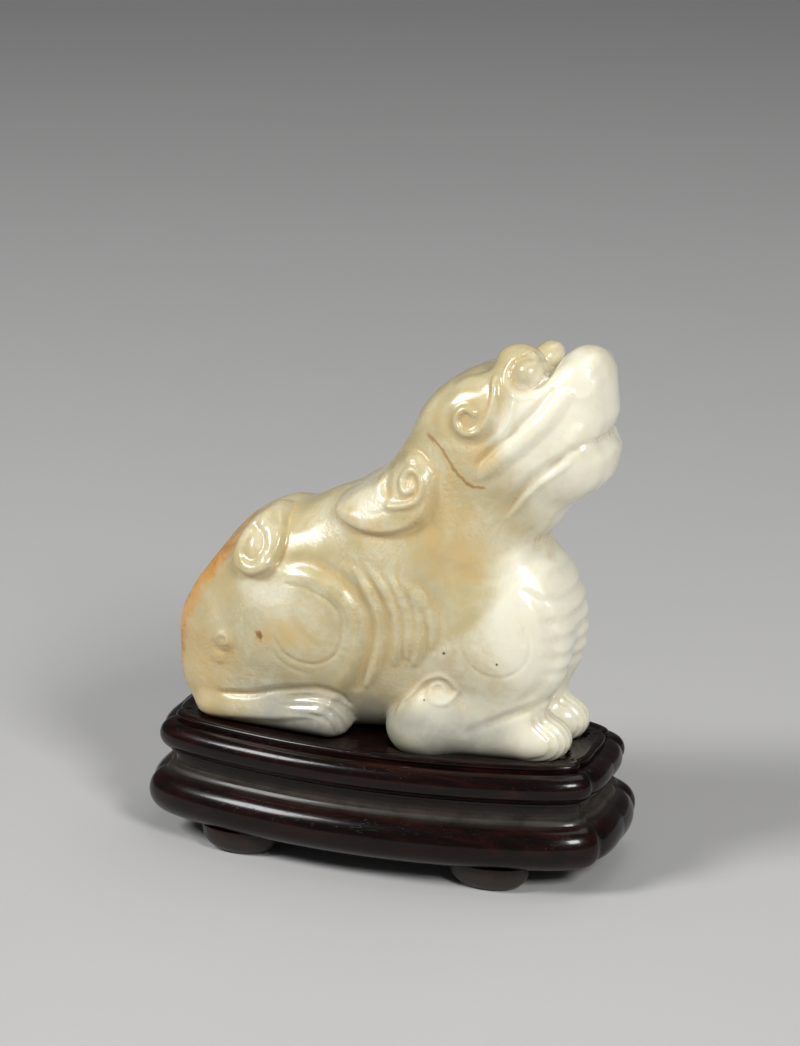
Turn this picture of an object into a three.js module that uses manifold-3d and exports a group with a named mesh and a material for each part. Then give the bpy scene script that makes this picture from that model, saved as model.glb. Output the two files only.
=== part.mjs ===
// A recumbent mythical beast carved in jade, lying on its fitted hardwood stand.
// Millimetres, +Z up, the head towards +X. The origin is under the stand, at the middle of its footprint.
import * as THREE from 'three';
import { mergeVertices } from 'three/addons/utils/BufferGeometryUtils.js';
import Module from 'manifold-3d';

const wasm = await Module();
wasm.setup();

// Driving sizes of the stand
const RIM_LENGTH = 66.8;             // plan of the rim, over its end lobes
const RIM_WIDTH = 28.6;              // and at the middle of its long sides
const CUSP_X = 32.4;                 // the cusp between end lobe and corner lobe
const CUSP_Y = 6.2;
const CORNER_X = 27.5;               // where the corner lobe runs into the long side
const CORNER_Y = 10.6;
const FOOT_HEIGHT = 3.6;
const FOOT_WIDTH = 13;
const FOOT_DEPTH = 7;
const FOOT_X = 20.5;
const FOOT_Y = 12.4;
const FOOT_FLOOR = 3.4;              // half its width at the floor
const LOWER_Z = 7.25;                // middle of the lower moulding
const LOWER_OUT = 3.4;               // how far its nose stands out
const LOWER_HALF = 3.6;              // half its height
const WAIST_LOW_Z = 11.5;            // the flat waist between the mouldings
const WAIST_HIGH_Z = 13.6;
const UPPER_Z = 16.5;                // middle of the upper moulding
const UPPER_OUT = 2.3;
const UPPER_HALF = 2.35;
const RIM_Z = 20;                    // top of the bead round the top
const TOP_Z = 19.8;                  // top surface inside the bead
const SEAT_Z = 19;                   // floor of the recess, on which the jade rests
const JADE_X = 0.5;                  // the jade lies this much forward of the stand's middle
const WOOD_COLOR = 0x2a1512;

// Driving sizes of the jade: its outline and masses are further down
const HEAD_FILLET = 2.5;             // fillet between head and body
const OUTLINE_FILLET = 4;            // rounding where the outline cuts the masses
const JADE_LOW = [-40, -16.2, -1.8]; // a box round the jade, with room on every side
const JADE_HIGH = [40, 16.2, 68];
const JADE_COLOR = 0xd9d2ae;

// Fineness of the carved surface
const CELL = 0.6;                    // grid step of the first, fine skin
const JADE_TRIANGLES = 7100;         // what is kept of it
const OUTLINE_REACH = 90;            // further than any point lies from the outline

const radians = THREE.MathUtils.degToRad;
const clamp = THREE.MathUtils.clamp;
const smoothstep = THREE.MathUtils.smoothstep;

// Blends two solids with a fillet about k wide.
function blend(a, b, k) {
  const h = Math.max(k - Math.abs(a - b), 0) / k;
  return Math.min(a, b) - h * h * k / 4;
}

// Cuts one solid by another with a rounded edge about k wide.
function cut(a, b, k) {
  return -blend(-a, -b, k);
}

// An egg: centre, half sizes and its pitch in the side view, nose up, in degrees. The y of the centre is a
// distance from the middle plane, because every paired form is made once for both sides.
function egg(x, y, z, rx, ry, rz, pitch = 0) {
  const c = Math.cos(radians(pitch));
  const s = Math.sin(radians(pitch));
  return (px, py, pz) => {
    const dx = px - x;
    const dz = pz - z;
    const u = (dx * c + dz * s) / rx;
    const v = (py - y) / ry;
    const w = (-dx * s + dz * c) / rz;
    const near = Math.hypot(u, v, w);
    const steep = Math.hypot(u / rx, v / ry, w / rz);
    return near * (near - 1) / Math.max(steep, 1e-6);
  };
}

// A limb: a straight tapered round bar with round ends, made wider or flatter across by the factor wide.
function limb(ax, ay, az, ra, bx, by, bz, rb, wide = 1) {
  const dx = bx - ax;
  const dy = (by - ay) / wide;
  const dz = bz - az;
  const length = dx * dx + dy * dy + dz * dz;
  return (px, py, pz) => {
    const qx = px - ax;
    const qy = (py - ay) / wide;
    const qz = pz - az;
    const t = clamp((qx * dx + qy * dy + qz * dz) / length, 0, 1);
    return Math.hypot(qx - t * dx, qy - t * dy, qz - t * dz) - (ra + (rb - ra) * t);
  };
}

// A smooth line through points [x, z] of the side view, as short straight steps.
function line(points, { closed = false, steps = 4 } = {}) {
  const corners = points.map(([x, z]) => new THREE.Vector3(x, z, 0));
  const spline = new THREE.CatmullRomCurve3(corners, closed, 'centripetal');
  const chain = spline.getPoints(points.length * steps);
  const box = new THREE.Box3().setFromPoints(chain);
  return { chain, box };
}

// A curl in the side view: from angle start, in degrees, through turn degrees, while its radius goes from r0
// to r1.
function curl(x, z, r0, r1, start, turn) {
  const count = 14;
  const points = [];
  for (let i = 0; i <= count; i++) {
    const angle = radians(start + turn * i / count);
    const r = r0 + (r1 - r0) * i / count;
    points.push([x + r * Math.cos(angle), z + r * Math.sin(angle)]);
  }
  return points;
}

// Distance from (x, z) to a line of the side view, or a large number beyond reach of it.
function distanceTo({ chain, box }, x, z, reach) {
  if (x < box.min.x - reach || x > box.max.x + reach || z < box.min.y - reach || z > box.max.y + reach) {
    return 1e3;
  }
  let nearest = 1e6;
  for (let i = 1; i < chain.length; i++) {
    const a = chain[i - 1];
    const b = chain[i];
    const ex = b.x - a.x;
    const ez = b.y - a.y;
    const t = clamp(((x - a.x) * ex + (z - a.y) * ez) / (ex * ex + ez * ez), 0, 1);
    const gx = x - a.x - t * ex;
    const gz = z - a.y - t * ez;
    nearest = Math.min(nearest, gx * gx + gz * gz);
  }
  return Math.sqrt(nearest);
}

// The same with a sign, negative inside a closed line.
function insideOf(closedLine, x, z, reach) {
  const distance = distanceTo(closedLine, x, z, reach);
  if (distance === 1e3) return distance;
  const { chain } = closedLine;
  let inside = false;
  for (let i = 1; i < chain.length; i++) {
    const a = chain[i - 1];
    const b = chain[i];
    if ((a.y > z) !== (b.y > z) && x < a.x + (z - a.y) / (b.y - a.y) * (b.x - a.x)) inside = !inside;
  }
  return inside ? -distance : distance;
}

// Reliefs give a height over the surface at a place of the side view. Each fades out between two distances
// from the middle plane. A stroke is a rounded ridge, or a groove where its height is below zero. It thins
// out over the length taper at its two ends.
function stroke(points, half, height, from, full, taper = 0) {
  const path = line(points);
  const first = path.chain[0];
  const last = path.chain[path.chain.length - 1];
  return (x, side, z) => {
    if (side <= from) return 0;
    const t = distanceTo(path, x, z, half) / half;
    if (t >= 1) return 0;
    const toEnd = Math.min(Math.hypot(x - first.x, z - first.y), Math.hypot(x - last.x, z - last.y));
    const thin = taper > 0 ? Math.sqrt(Math.min(toEnd / taper, 1)) : 1;
    return height * thin * (1 - t * t) ** 2 * smoothstep(side, from, full);
  };
}

// A plateau inside a closed outline, with a slope of the given width and a crown of its own.
function plateau(points, slope, height, crown, from, full) {
  const outline = line(points, { closed: true });
  return (x, side, z) => {
    if (side <= from) return 0;
    const depth = -insideOf(outline, x, z, slope);
    if (depth <= -slope / 2) return 0;
    const rise = height * smoothstep(depth, -slope / 2, slope / 2) + crown * clamp(depth / 4, 0, 1);
    return rise * smoothstep(side, from, full);
  };
}

// The outline of the beast in the side view, from the seat up the rump, along the back and round the head.
const OUTLINE = line([
  [-31, -4], [-33.2, 0.2], [-34, 4.3], [-35.2, 8.5], [-35.1, 12], [-33.9, 17.1], [-31.2, 22.1],
  [-27.8, 26.8], [-23.1, 33], [-19.4, 35.8], [-16.8, 36.6], [-14.7, 36.1], [-9.7, 38.5], [-3.5, 41],
  [0.7, 45], [3.5, 49.5], [6.2, 54.4], [9, 57.2], [12.8, 59.4], [17, 60.4], [20.4, 61.7], [23, 61.3],
  [25.2, 59.8], [26.6, 62.6], [28.5, 64.7], [31, 65.3], [33.5, 64.6], [35, 62.8], [35.7, 60.3],
  [36.3, 57.6], [36.5, 54.2], [34.6, 50.9], [36.4, 49.4], [36.3, 47.2], [35.4, 44.2], [32.3, 41.4],
  [29.6, 39], [27.4, 36.2], [25.7, 33.6], [27.9, 31.6], [30, 28.4], [31.1, 24.5], [30.4, 18.7],
  [29.1, 14.1], [26.8, 10.4], [24.5, 6], [24, -4],
], { closed: true });

// The masses of the carving, as [form, fillet] in the order in which they are joined. A limb's form stands
// on both sides of the middle plane.
const BODY = [
  [egg(-2, 0, 20.5, 27, 12.2, 20, 10), 1],             // trunk
  [limb(-15, 0, 24, 10.5, 5, 0, 31, 10.5, 1.06), 5],   // back
  [egg(-19, 0, 16.5, 18.5, 11, 18.5, 52), 5],          // rump
  [egg(-26.6, 0, 6.5, 9, 8, 7.5), 4],                  // seat
  [egg(18.2, 0, 20.5, 13.4, 10.8, 16, 0), 5],          // chest
  [limb(4, 0, 33, 12, 13, 0, 48, 10.2, 0.9), 5],       // neck
];
const HEAD = [
  [egg(15.5, 0, 51, 12, 8.8, 12, 35), 1],              // skull
  [limb(11, 0, 51.5, 8, 22, 0, 56.4, 6.8, 1.05), 3],   // crown
  [limb(19, 0, 52.5, 7.4, 29, 0, 56, 5.9, 0.96), 4],   // upper muzzle
  [egg(25.5, 0, 51.5, 10.5, 7.2, 8.5, 50), 5],         // cheek
  [limb(12, 0, 40, 7.6, 29.5, 0, 46.6, 6.7, 1), 6],    // lower jaw
  [limb(16, 0, 36, 8, 23.6, 0, 38.6, 5.2, 1.1), 3],    // throat
  [egg(30.4, 0, 60, 5.5, 5.8, 5.3), 2],                // nose
];
const LIMBS = [
  [egg(-12, 6.5, 18, 11, 6.4, 11), 1.2],               // haunch
  [limb(-27, 5.5, 3.5, 3.6, -8, 7.4, 4.2, 4.2), 0.8],  // hind foot
  [egg(19.8, 4.5, 18, 10, 6.6, 12.5), 2],              // shoulder
  [limb(6, 7, 3.8, 4.3, 10.6, 6.9, 9.4, 3.5), 0.6],    // elbow
  [limb(9, 6.6, 3.6, 4.2, 23, 5.2, 3.6, 4), 5],        // forearm
  [egg(25.2, 4.6, 3.2, 5.3, 4.2, 3.9), 1],             // paw
  [egg(23.2, 4.9, 61.1, 2, 2.6, 1.9), 0.5],            // eye
  [egg(19.4, 3.8, 58.8, 4.4, 3, 2.4, 30), 1.5],        // brow
];
const NEAR_BROW = egg(21.2, -2.7, 61.5, 3.9, 2.7, 3);  // the near brow is carved higher than the far one
const NEAR_BROW_FILLET = 1.4;

const RIBS = [
  [[-2.1, 29.7], [0.3, 26.7], [1.8, 23.4], [2.2, 19.5], [1.3, 15.1], [-1, 9.8]],
  [[0.2, 30.5], [3, 27.1], [4.5, 23.5], [4.9, 19.1], [4.1, 14.3]],
  [[3.3, 30], [5.2, 27.1], [6.4, 23.5], [6.7, 19]],
  [[5.6, 29.2], [7.6, 26.3], [8.4, 22.2], [8.1, 17.7], [7, 14.4]],
  [[7.4, 28.4], [9.4, 25.3], [10.4, 21.5], [10.2, 17.7]],
];
const CHEST_GROOVES = [[29.2, 0.4], [26, 0.42], [22.8, 0.36], [19.8, 0.3], [17, 0.26], [14.4, 0.22]];
const RELIEFS = [
  // Haunch: a step over the flank with a valley outside it, and the spiral cut into it
  plateau([[-13.4, 28.2], [-9.9, 28.4], [-5.7, 27.3], [-2.6, 25], [-0.8, 21.2], [-0.8, 16.7], [-2.3, 12.3],
    [-4.4, 9.4], [-8, 5], [-44, 4], [-44, 45], [-19, 40], [-17, 31]], 1.4, 0.55, 0, 5, 8),
  stroke([[-13, 29.6], [-9.3, 30], [-4.8, 28.6], [-1.4, 25.8], [0.5, 21.5], [0.5, 16.5], [-1.1, 11.9],
    [-3, 9]], 2, -0.45, 5, 8, 4),
  stroke([[-13.9, 26.2], [-8.9, 25.6], [-4.7, 23.2], [-3.9, 19.8], [-4.9, 15.9], [-6.7, 14.2], [-9.1, 13.5],
    [-13, 14.8], [-15, 17.9]], 0.9, -0.38, 5, 8, 1.5),
  // Hind foot: the crease above it, and the boss at the hock
  stroke([[-26, 5.6], [-20, 6.3], [-16.4, 7.6], [-11.5, 8.8], [-8, 9.2], [-5.2, 8.2], [-3.6, 6]],
    1, -0.55, 5, 8, 3),
  plateau(curl(-23.9, 15.3, 1.7, 1.7, 0, 330), 1.2, 0.5, 0.3, 3, 6),
  // Ribs, the chest's bands, the shoulder's edge and the ring cut into it
  ...RIBS.map(points => stroke(points, 1.3, 0.68, 5, 8, 5)),
  ...CHEST_GROOVES.map(([z, deep]) => (
    stroke([[34, z - 0.5], [30, z], [26.6, z + 0.7]], 1.25, -deep, -1, 0, 2.5)
  )),
  stroke([[23.5, 28.3], [26.4, 25.8], [28.1, 20.8], [27.9, 16.4], [25.9, 12.5], [23, 10]],
    1.2, -0.3, 3, 6, 3),
  stroke(curl(20.1, 19.6, 5.3, 5.1, 70, -290), 0.8, -0.22, 4, 7, 3),
  // Elbow scroll, and the crease between shoulder and forearm
  stroke([[4.2, 6], [4.9, 8], [6.9, 10.3], [9.3, 12.7], [11.5, 13.3]], 0.9, 0.35, 5, 8, 2),
  plateau(curl(11.5, 11, 2, 2, 0, 330), 1.2, 0.3, 0.3, 5, 8),
  stroke([[14.5, 4.4], [18, 5.8], [22, 7.8], [26, 9.6], [28, 10.2]], 1.2, -0.3, 3, 6, 4),
  // Ear: a thick leaf laid back along the neck, with a curl in a hollow at its root
  plateau([[-6.2, 38.2], [-3.6, 40.6], [0.4, 43], [4, 46.6], [6.7, 47.7], [9.2, 46.2], [10.2, 42.6],
    [8.9, 38.8], [5.7, 36.5], [1.7, 35.7], [-2.5, 36], [-5.2, 36.9]], 1.4, 1.5, 0.5, 2, 5),
  stroke([[5.4, 47], [3.6, 46.1], [2.5, 44.2], [2.6, 42.3], [3.6, 41.2]], 1.4, -0.5, 3, 6, 1.5),
  stroke([[2.9, 40.2], [5.6, 40.4], [7.6, 41.2], [8.6, 43], [8.3, 45], [6.9, 45.9], [5.6, 45.1], [5.3, 43.8],
    [6, 42.6], [6.9, 43]], 0.85, 0.65, 3, 6, 0.8),
  // Jowl over the neck and chest, and the cheek ridge with the hollow behind it
  plateau([[8, 38], [10.4, 33.5], [13.6, 31.3], [19.5, 30.6], [23.9, 32.3], [29, 36], [40, 45],
    [40, 70], [20, 70], [12, 58], [9, 47]], 2.6, 0.4, 0, 3, 6),
  stroke([[29.6, 58.6], [28.6, 57.2], [27, 54.9], [24.9, 52.7], [22.2, 50.2], [19.6, 47.8], [16.5, 44.8]],
    1.9, 0.6, 2, 4, 4),
  stroke([[26, 57.6], [24.6, 55.6], [22.8, 53.6], [20.7, 51.6], [18.4, 49.3], [16.3, 46.9]],
    1.2, -0.6, 2, 4, 3),
  // Mouth, and the leaf-shaped line of the jaw
  stroke([[37, 51], [34.3, 51.2], [33, 51.5], [31.9, 51.1], [30.5, 50.2], [28.6, 48.9], [26.6, 47.4]],
    0.9, -0.38, -1, 1, 1.5),
  stroke([[30, 49.4], [28.2, 48], [25.1, 45.7], [22.7, 42.9], [20.6, 38.9]], 1.3, -0.42, 2, 4, 2.5),
  stroke([[31, 49], [29.3, 47.5], [26.7, 45.4], [23.9, 42.7], [20.8, 38.8]], 0.9, 0.3, 2, 4, 2),
  // Brow curl in its hollow, and the fold and the ring under the eye
  stroke([[12.2, 56.2], [12, 53.8], [13.3, 51.6], [15.7, 51], [18.4, 52.2], [20, 54.8], [20.2, 58]],
    1.1, -0.45, 3, 6, 1.5),
  stroke([[18.3, 60.6], [18.8, 58.9], [18.8, 57], [18.2, 54.9], [16.8, 53.1], [15.2, 52.6], [13.8, 53.5],
    [13.4, 55], [14.5, 56.2], [15.9, 55.9]], 0.95, 0.8, 4, 7, 1),
  stroke([[22.2, 58.4], [21.9, 56.6], [21.5, 54.4], [20.7, 52.4], [19.5, 50.7]], 0.8, 0.45, 2, 5, 1.5),
  stroke(curl(23.2, 61, 2.6, 2.6, 150, 180), 0.8, -0.35, 3, 5.5, 1),
];

// The tail lies over the rump and ends in a curl on each flank, the far one lower and fainter.
const TAIL = [
  plateau([[-16.6, 36.6], [-15, 35.2], [-14.2, 32.4], [-14.8, 29.6], [-16.4, 27.7], [-18.7, 26.8],
    [-21.1, 27.4], [-22.3, 29.2], [-21.8, 31.7], [-20.5, 34], [-18.6, 36]], 1.2, 1.4, 0, 1.5, 4.5),
  stroke([[-18.4, 35.8], [-16.7, 33.8], [-15.7, 31.7], [-15.9, 29.8], [-17.3, 28.4], [-19.3, 28.3],
    [-20.6, 29.3]], 1.3, 0.45, 3, 6, 1.5),
  stroke([[-19.2, 34.2], [-17.9, 33.3], [-17.1, 31.8], [-17.2, 30.2], [-18.3, 29.3], [-19.5, 29.5]],
    0.8, -0.5, 3, 6, 1),
];
const TAIL_FAR_FADE = 6.5;           // how much further out the far curl begins

// How far outside the jade's surface a point is, in millimetres and roughly so away from the surface.
function jadeField(x, y, z) {
  const side = Math.abs(y);
  let body = 1e3;
  for (const [form, fillet] of BODY) body = blend(body, form(x, y, z), fillet);
  let head = 1e3;
  for (const [form, fillet] of HEAD) head = blend(head, form(x, y, z), fillet);
  let d = blend(body, head, HEAD_FILLET);
  d = cut(d, insideOf(OUTLINE, x, z, OUTLINE_REACH), OUTLINE_FILLET);
  for (const [form, fillet] of LIMBS) d = blend(d, form(x, side, z), fillet);
  d = blend(d, NEAR_BROW(x, y, z), NEAR_BROW_FILLET);
  if (Math.abs(d) < 4) {
    for (const relief of RELIEFS) d -= relief(x, side, z);
    for (const relief of TAIL) d -= relief(x, y > 0 ? side - TAIL_FAR_FADE : side, z);
  }
  return Math.max(d, -z);
}

// Where the corners of a grid square lie inside and outside by turns, the surface would cross itself there.
// The outer corner that is nearest to the surface then counts as inside.
function closeCrossings(value, step) {
  let changed = true;
  while (changed) {
    changed = false;
    for (let a = 0; a < 3; a++) {
      const [u, w] = [step[a], step[(a + 1) % 3]];
      for (let here = 0; here + u + w < value.length; here++) {
        const inside = value[here] <= 0;
        if (inside !== (value[here + u + w] <= 0)) continue;
        if (inside === (value[here + u] <= 0) || inside === (value[here + w] <= 0)) continue;
        const [p, q] = inside ? [here + u, here + w] : [here, here + u + w];
        value[value[p] < value[q] ? p : q] = -1e-3;
        changed = true;
      }
    }
  }
}

// Skins a field: one vertex in each cell that the surface crosses, one quad round each grid edge it cuts.
function skin(field, low, high, cell) {
  const n = low.map((a, i) => Math.ceil((high[i] - a) / cell) + 1);
  const at = (i, j, k) => i + n[0] * (j + n[1] * k);
  const value = new Float32Array(n[0] * n[1] * n[2]);
  for (let k = 0; k < n[2]; k++) {
    for (let j = 0; j < n[1]; j++) {
      for (let i = 0; i < n[0]; i++) {
        value[at(i, j, k)] = field(low[0] + i * cell, low[1] + j * cell, low[2] + k * cell);
      }
    }
  }
  const step = [1, n[0], n[0] * n[1]];
  closeCrossings(value, step);
  const corners = [0, 1, 2, 3, 4, 5, 6, 7].map(c => [c & 1, (c >> 1) & 1, c >> 2]);
  const edges = [];
  for (let c = 0; c < 8; c++) {
    for (let a = 0; a < 3; a++) {
      if (!corners[c][a]) edges.push([c, c | (1 << a), a]);
    }
  }
  const vertexOf = new Int32Array(value.length).fill(-1);
  const points = [];
  const faces = [];
  const eachCell = (first, visit) => {
    for (let k = first; k < n[2] - 1; k++) {
      for (let j = first; j < n[1] - 1; j++) {
        for (let i = first; i < n[0] - 1; i++) visit(i, j, k);
      }
    }
  };
  eachCell(0, (i, j, k) => {
    const v = corners.map(([a, b, c]) => value[at(i + a, j + b, k + c)]);
    if (v.every(x => x > 0) || v.every(x => x <= 0)) return;
    const sum = [0, 0, 0];
    let count = 0;
    for (const [p, q, a] of edges) {
      if ((v[p] > 0) === (v[q] > 0)) continue;
      const t = v[p] / (v[p] - v[q]);
      corners[p].forEach((c, m) => { sum[m] += c + (m === a ? t : 0); });
      count++;
    }
    vertexOf[at(i, j, k)] = points.length;
    points.push([i, j, k].map((c, m) => low[m] + cell * (c + sum[m] / count)));
  });
  eachCell(1, (i, j, k) => {
    for (let a = 0; a < 3; a++) {
      const here = at(i, j, k);
      const inside = value[here] <= 0;
      if (inside === (value[here + step[a]] <= 0)) continue;
      const u = step[(a + 1) % 3];
      const w = step[(a + 2) % 3];
      const ring = [here, here - u, here - u - w, here - w].map(c => vertexOf[c]);
      if (!inside) ring.reverse();
      faces.push([ring[0], ring[1], ring[2]], [ring[0], ring[2], ring[3]]);
    }
  });
  return { points, faces };
}

// Moves the points onto the surface of the field, along its slope.
function settle(field, { points, faces }, rounds) {
  const e = 0.05;
  const moved = points.map(([x, y, z]) => {
    let p = [x, y, z];
    for (let round = 0; round < rounds; round++) {
      const here = field(...p);
      const slope = [0, 1, 2].map(m => {
        const q = [...p];
        q[m] += e;
        return (field(...q) - here) / e;
      });
      const steep = slope[0] ** 2 + slope[1] ** 2 + slope[2] ** 2;
      const step = clamp(here / Math.max(steep, 0.25), -CELL / 2, CELL / 2);
      p = p.map((c, m) => c - slope[m] * step);
    }
    return p;
  });
  return { points: moved, faces };
}

// Evens the points out: each one goes to the middle of its neighbours.
function relax({ points, faces }) {
  const sum = points.map(() => [0, 0, 0, 0]);
  for (const face of faces) {
    face.forEach((v, i) => {
      const next = points[face[(i + 1) % 3]];
      next.forEach((c, m) => { sum[v][m] += c; });
      sum[v][3]++;
    });
  }
  return { points: sum.map(([x, y, z, n]) => [x / n, y / n, z / n]), faces };
}

// Thins a closed skin out by joining the two ends of an edge, always where the shape changes least.
function thin({ points, faces }, target) {
  const count = points.length;
  const facesOf = Array.from({ length: count }, () => new Set());
  faces.forEach((face, f) => face.forEach(v => facesOf[v].add(f)));
  const normalOf = (a, b, c) => {
    const [ux, uy, uz] = [b[0] - a[0], b[1] - a[1], b[2] - a[2]];
    const [vx, vy, vz] = [c[0] - a[0], c[1] - a[1], c[2] - a[2]];
    return [uy * vz - uz * vy, uz * vx - ux * vz, ux * vy - uy * vx];
  };
  // Sum of squared distances to the planes of the faces, as the ten numbers of a symmetric 4 by 4 form.
  const quadric = Array.from({ length: count }, () => new Float64Array(10));
  for (const face of faces) {
    const [a, b, c] = face.map(v => points[v]);
    const n = normalOf(a, b, c);
    const area = Math.hypot(...n);
    if (area < 1e-9) continue;
    const [x, y, z] = n.map(value => value / area);
    const w = -(x * a[0] + y * a[1] + z * a[2]);
    const form = [x * x, x * y, x * z, x * w, y * y, y * z, y * w, z * z, z * w, w * w];
    for (const v of face) form.forEach((value, i) => { quadric[v][i] += value * area; });
  }
  // The way each vertex faces, which no face round it may turn away from.
  const facing = Array.from({ length: count }, () => [0, 0, 0]);
  for (const face of faces) {
    const n = normalOf(...face.map(v => points[v]));
    for (const v of face) n.forEach((value, m) => { facing[v][m] += value; });
  }
  const errorAt = (q, [x, y, z]) => q[0] * x * x + 2 * q[1] * x * y + 2 * q[2] * x * z + 2 * q[3] * x
    + q[4] * y * y + 2 * q[5] * y * z + 2 * q[6] * y + q[7] * z * z + 2 * q[8] * z + q[9];
  const bestPlace = (q, a, b) => {
    const det = q[0] * (q[4] * q[7] - q[5] * q[5]) - q[1] * (q[1] * q[7] - q[5] * q[2])
      + q[2] * (q[1] * q[5] - q[4] * q[2]);
    const middle = a.map((c, m) => (c + b[m]) / 2);
    const places = [a, b, middle];
    if (Math.abs(det) > 1e-6) {
      const solved = new THREE.Vector3(-q[3], -q[6], -q[8]).applyMatrix3(
        new THREE.Matrix3().set(q[0], q[1], q[2], q[1], q[4], q[5], q[2], q[5], q[7]).invert()).toArray();
      const away = Math.hypot(...solved.map((c, m) => c - middle[m]));
      if (away < Math.hypot(...a.map((c, m) => c - b[m]))) places.push(solved);
    }
    return places.map(p => [errorAt(q, p), p]).sort((u, v) => u[0] - v[0])[0];
  };
  const alive = new Uint8Array(count).fill(1);
  const version = new Uint32Array(count);
  const heap = [];
  const push = entry => {
    let i = heap.push(entry) - 1;
    while (i > 0) {
      const up = (i - 1) >> 1;
      if (heap[up].cost <= entry.cost) break;
      heap[i] = heap[up];
      i = up;
    }
    heap[i] = entry;
  };
  const pop = () => {
    const top = heap[0];
    const last = heap.pop();
    if (!heap.length) return top;
    let i = 0;
    for (;;) {
      let down = 2 * i + 1;
      if (down >= heap.length) break;
      if (down + 1 < heap.length && heap[down + 1].cost < heap[down].cost) down++;
      if (heap[down].cost >= last.cost) break;
      heap[i] = heap[down];
      i = down;
    }
    heap[i] = last;
    return top;
  };
  const offer = (a, b) => {
    const q = quadric[a].map((value, i) => value + quadric[b][i]);
    const [error, place] = bestPlace(q, points[a], points[b]);
    const long = Math.hypot(...points[a].map((c, m) => c - points[b][m]));
    push({ cost: error + 1e-5 * long, a, b, place, stamp: version[a] + version[b] });
  };
  const neighbours = v => {
    const around = new Set();
    for (const f of facesOf[v]) faces[f].forEach(u => u !== v && around.add(u));
    return around;
  };
  for (let v = 0; v < count; v++) {
    for (const u of neighbours(v)) {
      if (v < u) offer(v, u);
    }
  }
  let left = faces.length;
  while (left > target && heap.length) {
    const { a, b, place, stamp } = pop();
    if (!alive[a] || !alive[b] || stamp !== version[a] + version[b]) continue;
    const shared = [...facesOf[a]].filter(f => facesOf[b].has(f));
    const around = neighbours(b);
    const common = [...neighbours(a)].filter(u => around.has(u));
    if (shared.length !== 2 || common.length !== 2) continue;
    const turns = [a, b].some(v => [...facesOf[v]].some(f => {
      if (shared.includes(f)) return false;
      const old = normalOf(...faces[f].map(u => points[u]));
      const fresh = normalOf(...faces[f].map(u => (u === v ? place : points[u])));
      const size = Math.hypot(...fresh);
      const along = old[0] * fresh[0] + old[1] * fresh[1] + old[2] * fresh[2];
      if (along < 0.5 * Math.hypot(...old) * size || size < 0.02) return true;
      return faces[f].some(u => {
        const out = facing[u];
        return out[0] * fresh[0] + out[1] * fresh[1] + out[2] * fresh[2] < 0.2 * Math.hypot(...out) * size;
      });
    }));
    if (turns) continue;
    points[a] = place;
    quadric[b].forEach((value, i) => { quadric[a][i] += value; });
    facing[b].forEach((value, m) => { facing[a][m] += value; });
    for (const f of shared) {
      for (const u of faces[f]) facesOf[u].delete(f);
      faces[f] = null;
    }
    for (const f of facesOf[b]) {
      faces[f] = faces[f].map(u => (u === b ? a : u));
      facesOf[a].add(f);
    }
    alive[b] = 0;
    version[a] += 1 + version[b];
    left -= 2;
    for (const u of neighbours(a)) offer(a, u);
  }
  const order = new Map();
  const kept = faces.filter(face => face).map(face => face.map(v => {
    if (!order.has(v)) order.set(v, order.size);
    return order.get(v);
  }));
  return { points: [...order.keys()].map(v => points[v]), faces: kept };
}

function geometryOf({ points, faces }) {
  const geometry = new THREE.BufferGeometry();
  geometry.setAttribute('position', new THREE.Float32BufferAttribute(points.flat(), 3));
  geometry.setIndex(faces.flat());
  geometry.computeVertexNormals();
  return geometry;
}

const rough = skin(jadeField, JADE_LOW, JADE_HIGH, CELL);
const fine = settle(jadeField, relax(settle(jadeField, relax(rough), 2)), 2);
const skinned = thin(fine, JADE_TRIANGLES);
const jadeMaterial = new THREE.MeshStandardMaterial({ color: JADE_COLOR, roughness: 0.25 });
const jade = new THREE.Mesh(geometryOf(skinned), jadeMaterial);
jade.name = 'jade_beast';
jade.position.set(JADE_X, 0, SEAT_Z);

// The stand's plan at its rim: a quarter, from the middle of the end to the middle of the long side.
function quarterPlan() {
  const end = new THREE.Vector2(RIM_LENGTH / 2, 0);
  const cusp = new THREE.Vector2(CUSP_X, CUSP_Y);
  const corner = new THREE.Vector2(CORNER_X, CORNER_Y);
  const side = new THREE.Vector2(0, RIM_WIDTH / 2);
  const curves = [
    [new THREE.QuadraticBezierCurve(end, new THREE.Vector2(end.x + 0.4, CUSP_Y * 0.85), cusp), 3],
    [new THREE.QuadraticBezierCurve(cusp, new THREE.Vector2(CUSP_X + 2.2, CORNER_Y - 2), corner), 4],
    [new THREE.QuadraticBezierCurve(corner, new THREE.Vector2(CORNER_X / 2, side.y), side), 5],
  ];
  return curves.flatMap(([curve, count]) => curve.getPoints(count).slice(0, -1)).concat(side);
}

// The whole plan, as points with the direction in which the mouldings stand out. The directions follow a
// plain rounded plan, so that the mouldings keep apart at the cusps.
function wholePlan() {
  const quarter = quarterPlan();
  const turn = (sx, sy) => quarter.map(({ x, y }) => new THREE.Vector2(x * sx, y * sy));
  const ring = [
    ...turn(1, 1).slice(0, -1), ...turn(-1, 1).reverse().slice(0, -1),
    ...turn(-1, -1).slice(0, -1), ...turn(1, -1).reverse().slice(0, -1),
  ];
  return ring.map(point => {
    const along = Math.sign(point.x) * point.x ** 2 / RIM_LENGTH ** 3;
    const across = Math.sign(point.y) * point.y ** 2 / RIM_WIDTH ** 3;
    return { point, out: new THREE.Vector2(along, across).normalize() };
  });
}

// Points [offset, height] round the nose of a moulding, from below to above.
function nose(offset, height, wide, tall, count) {
  const points = [];
  for (let i = 0; i <= count; i++) {
    const angle = radians(-82 + 164 * i / count);
    points.push([offset + wide * Math.cos(angle), height + tall * Math.sin(angle)]);
  }
  return points;
}

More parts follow.
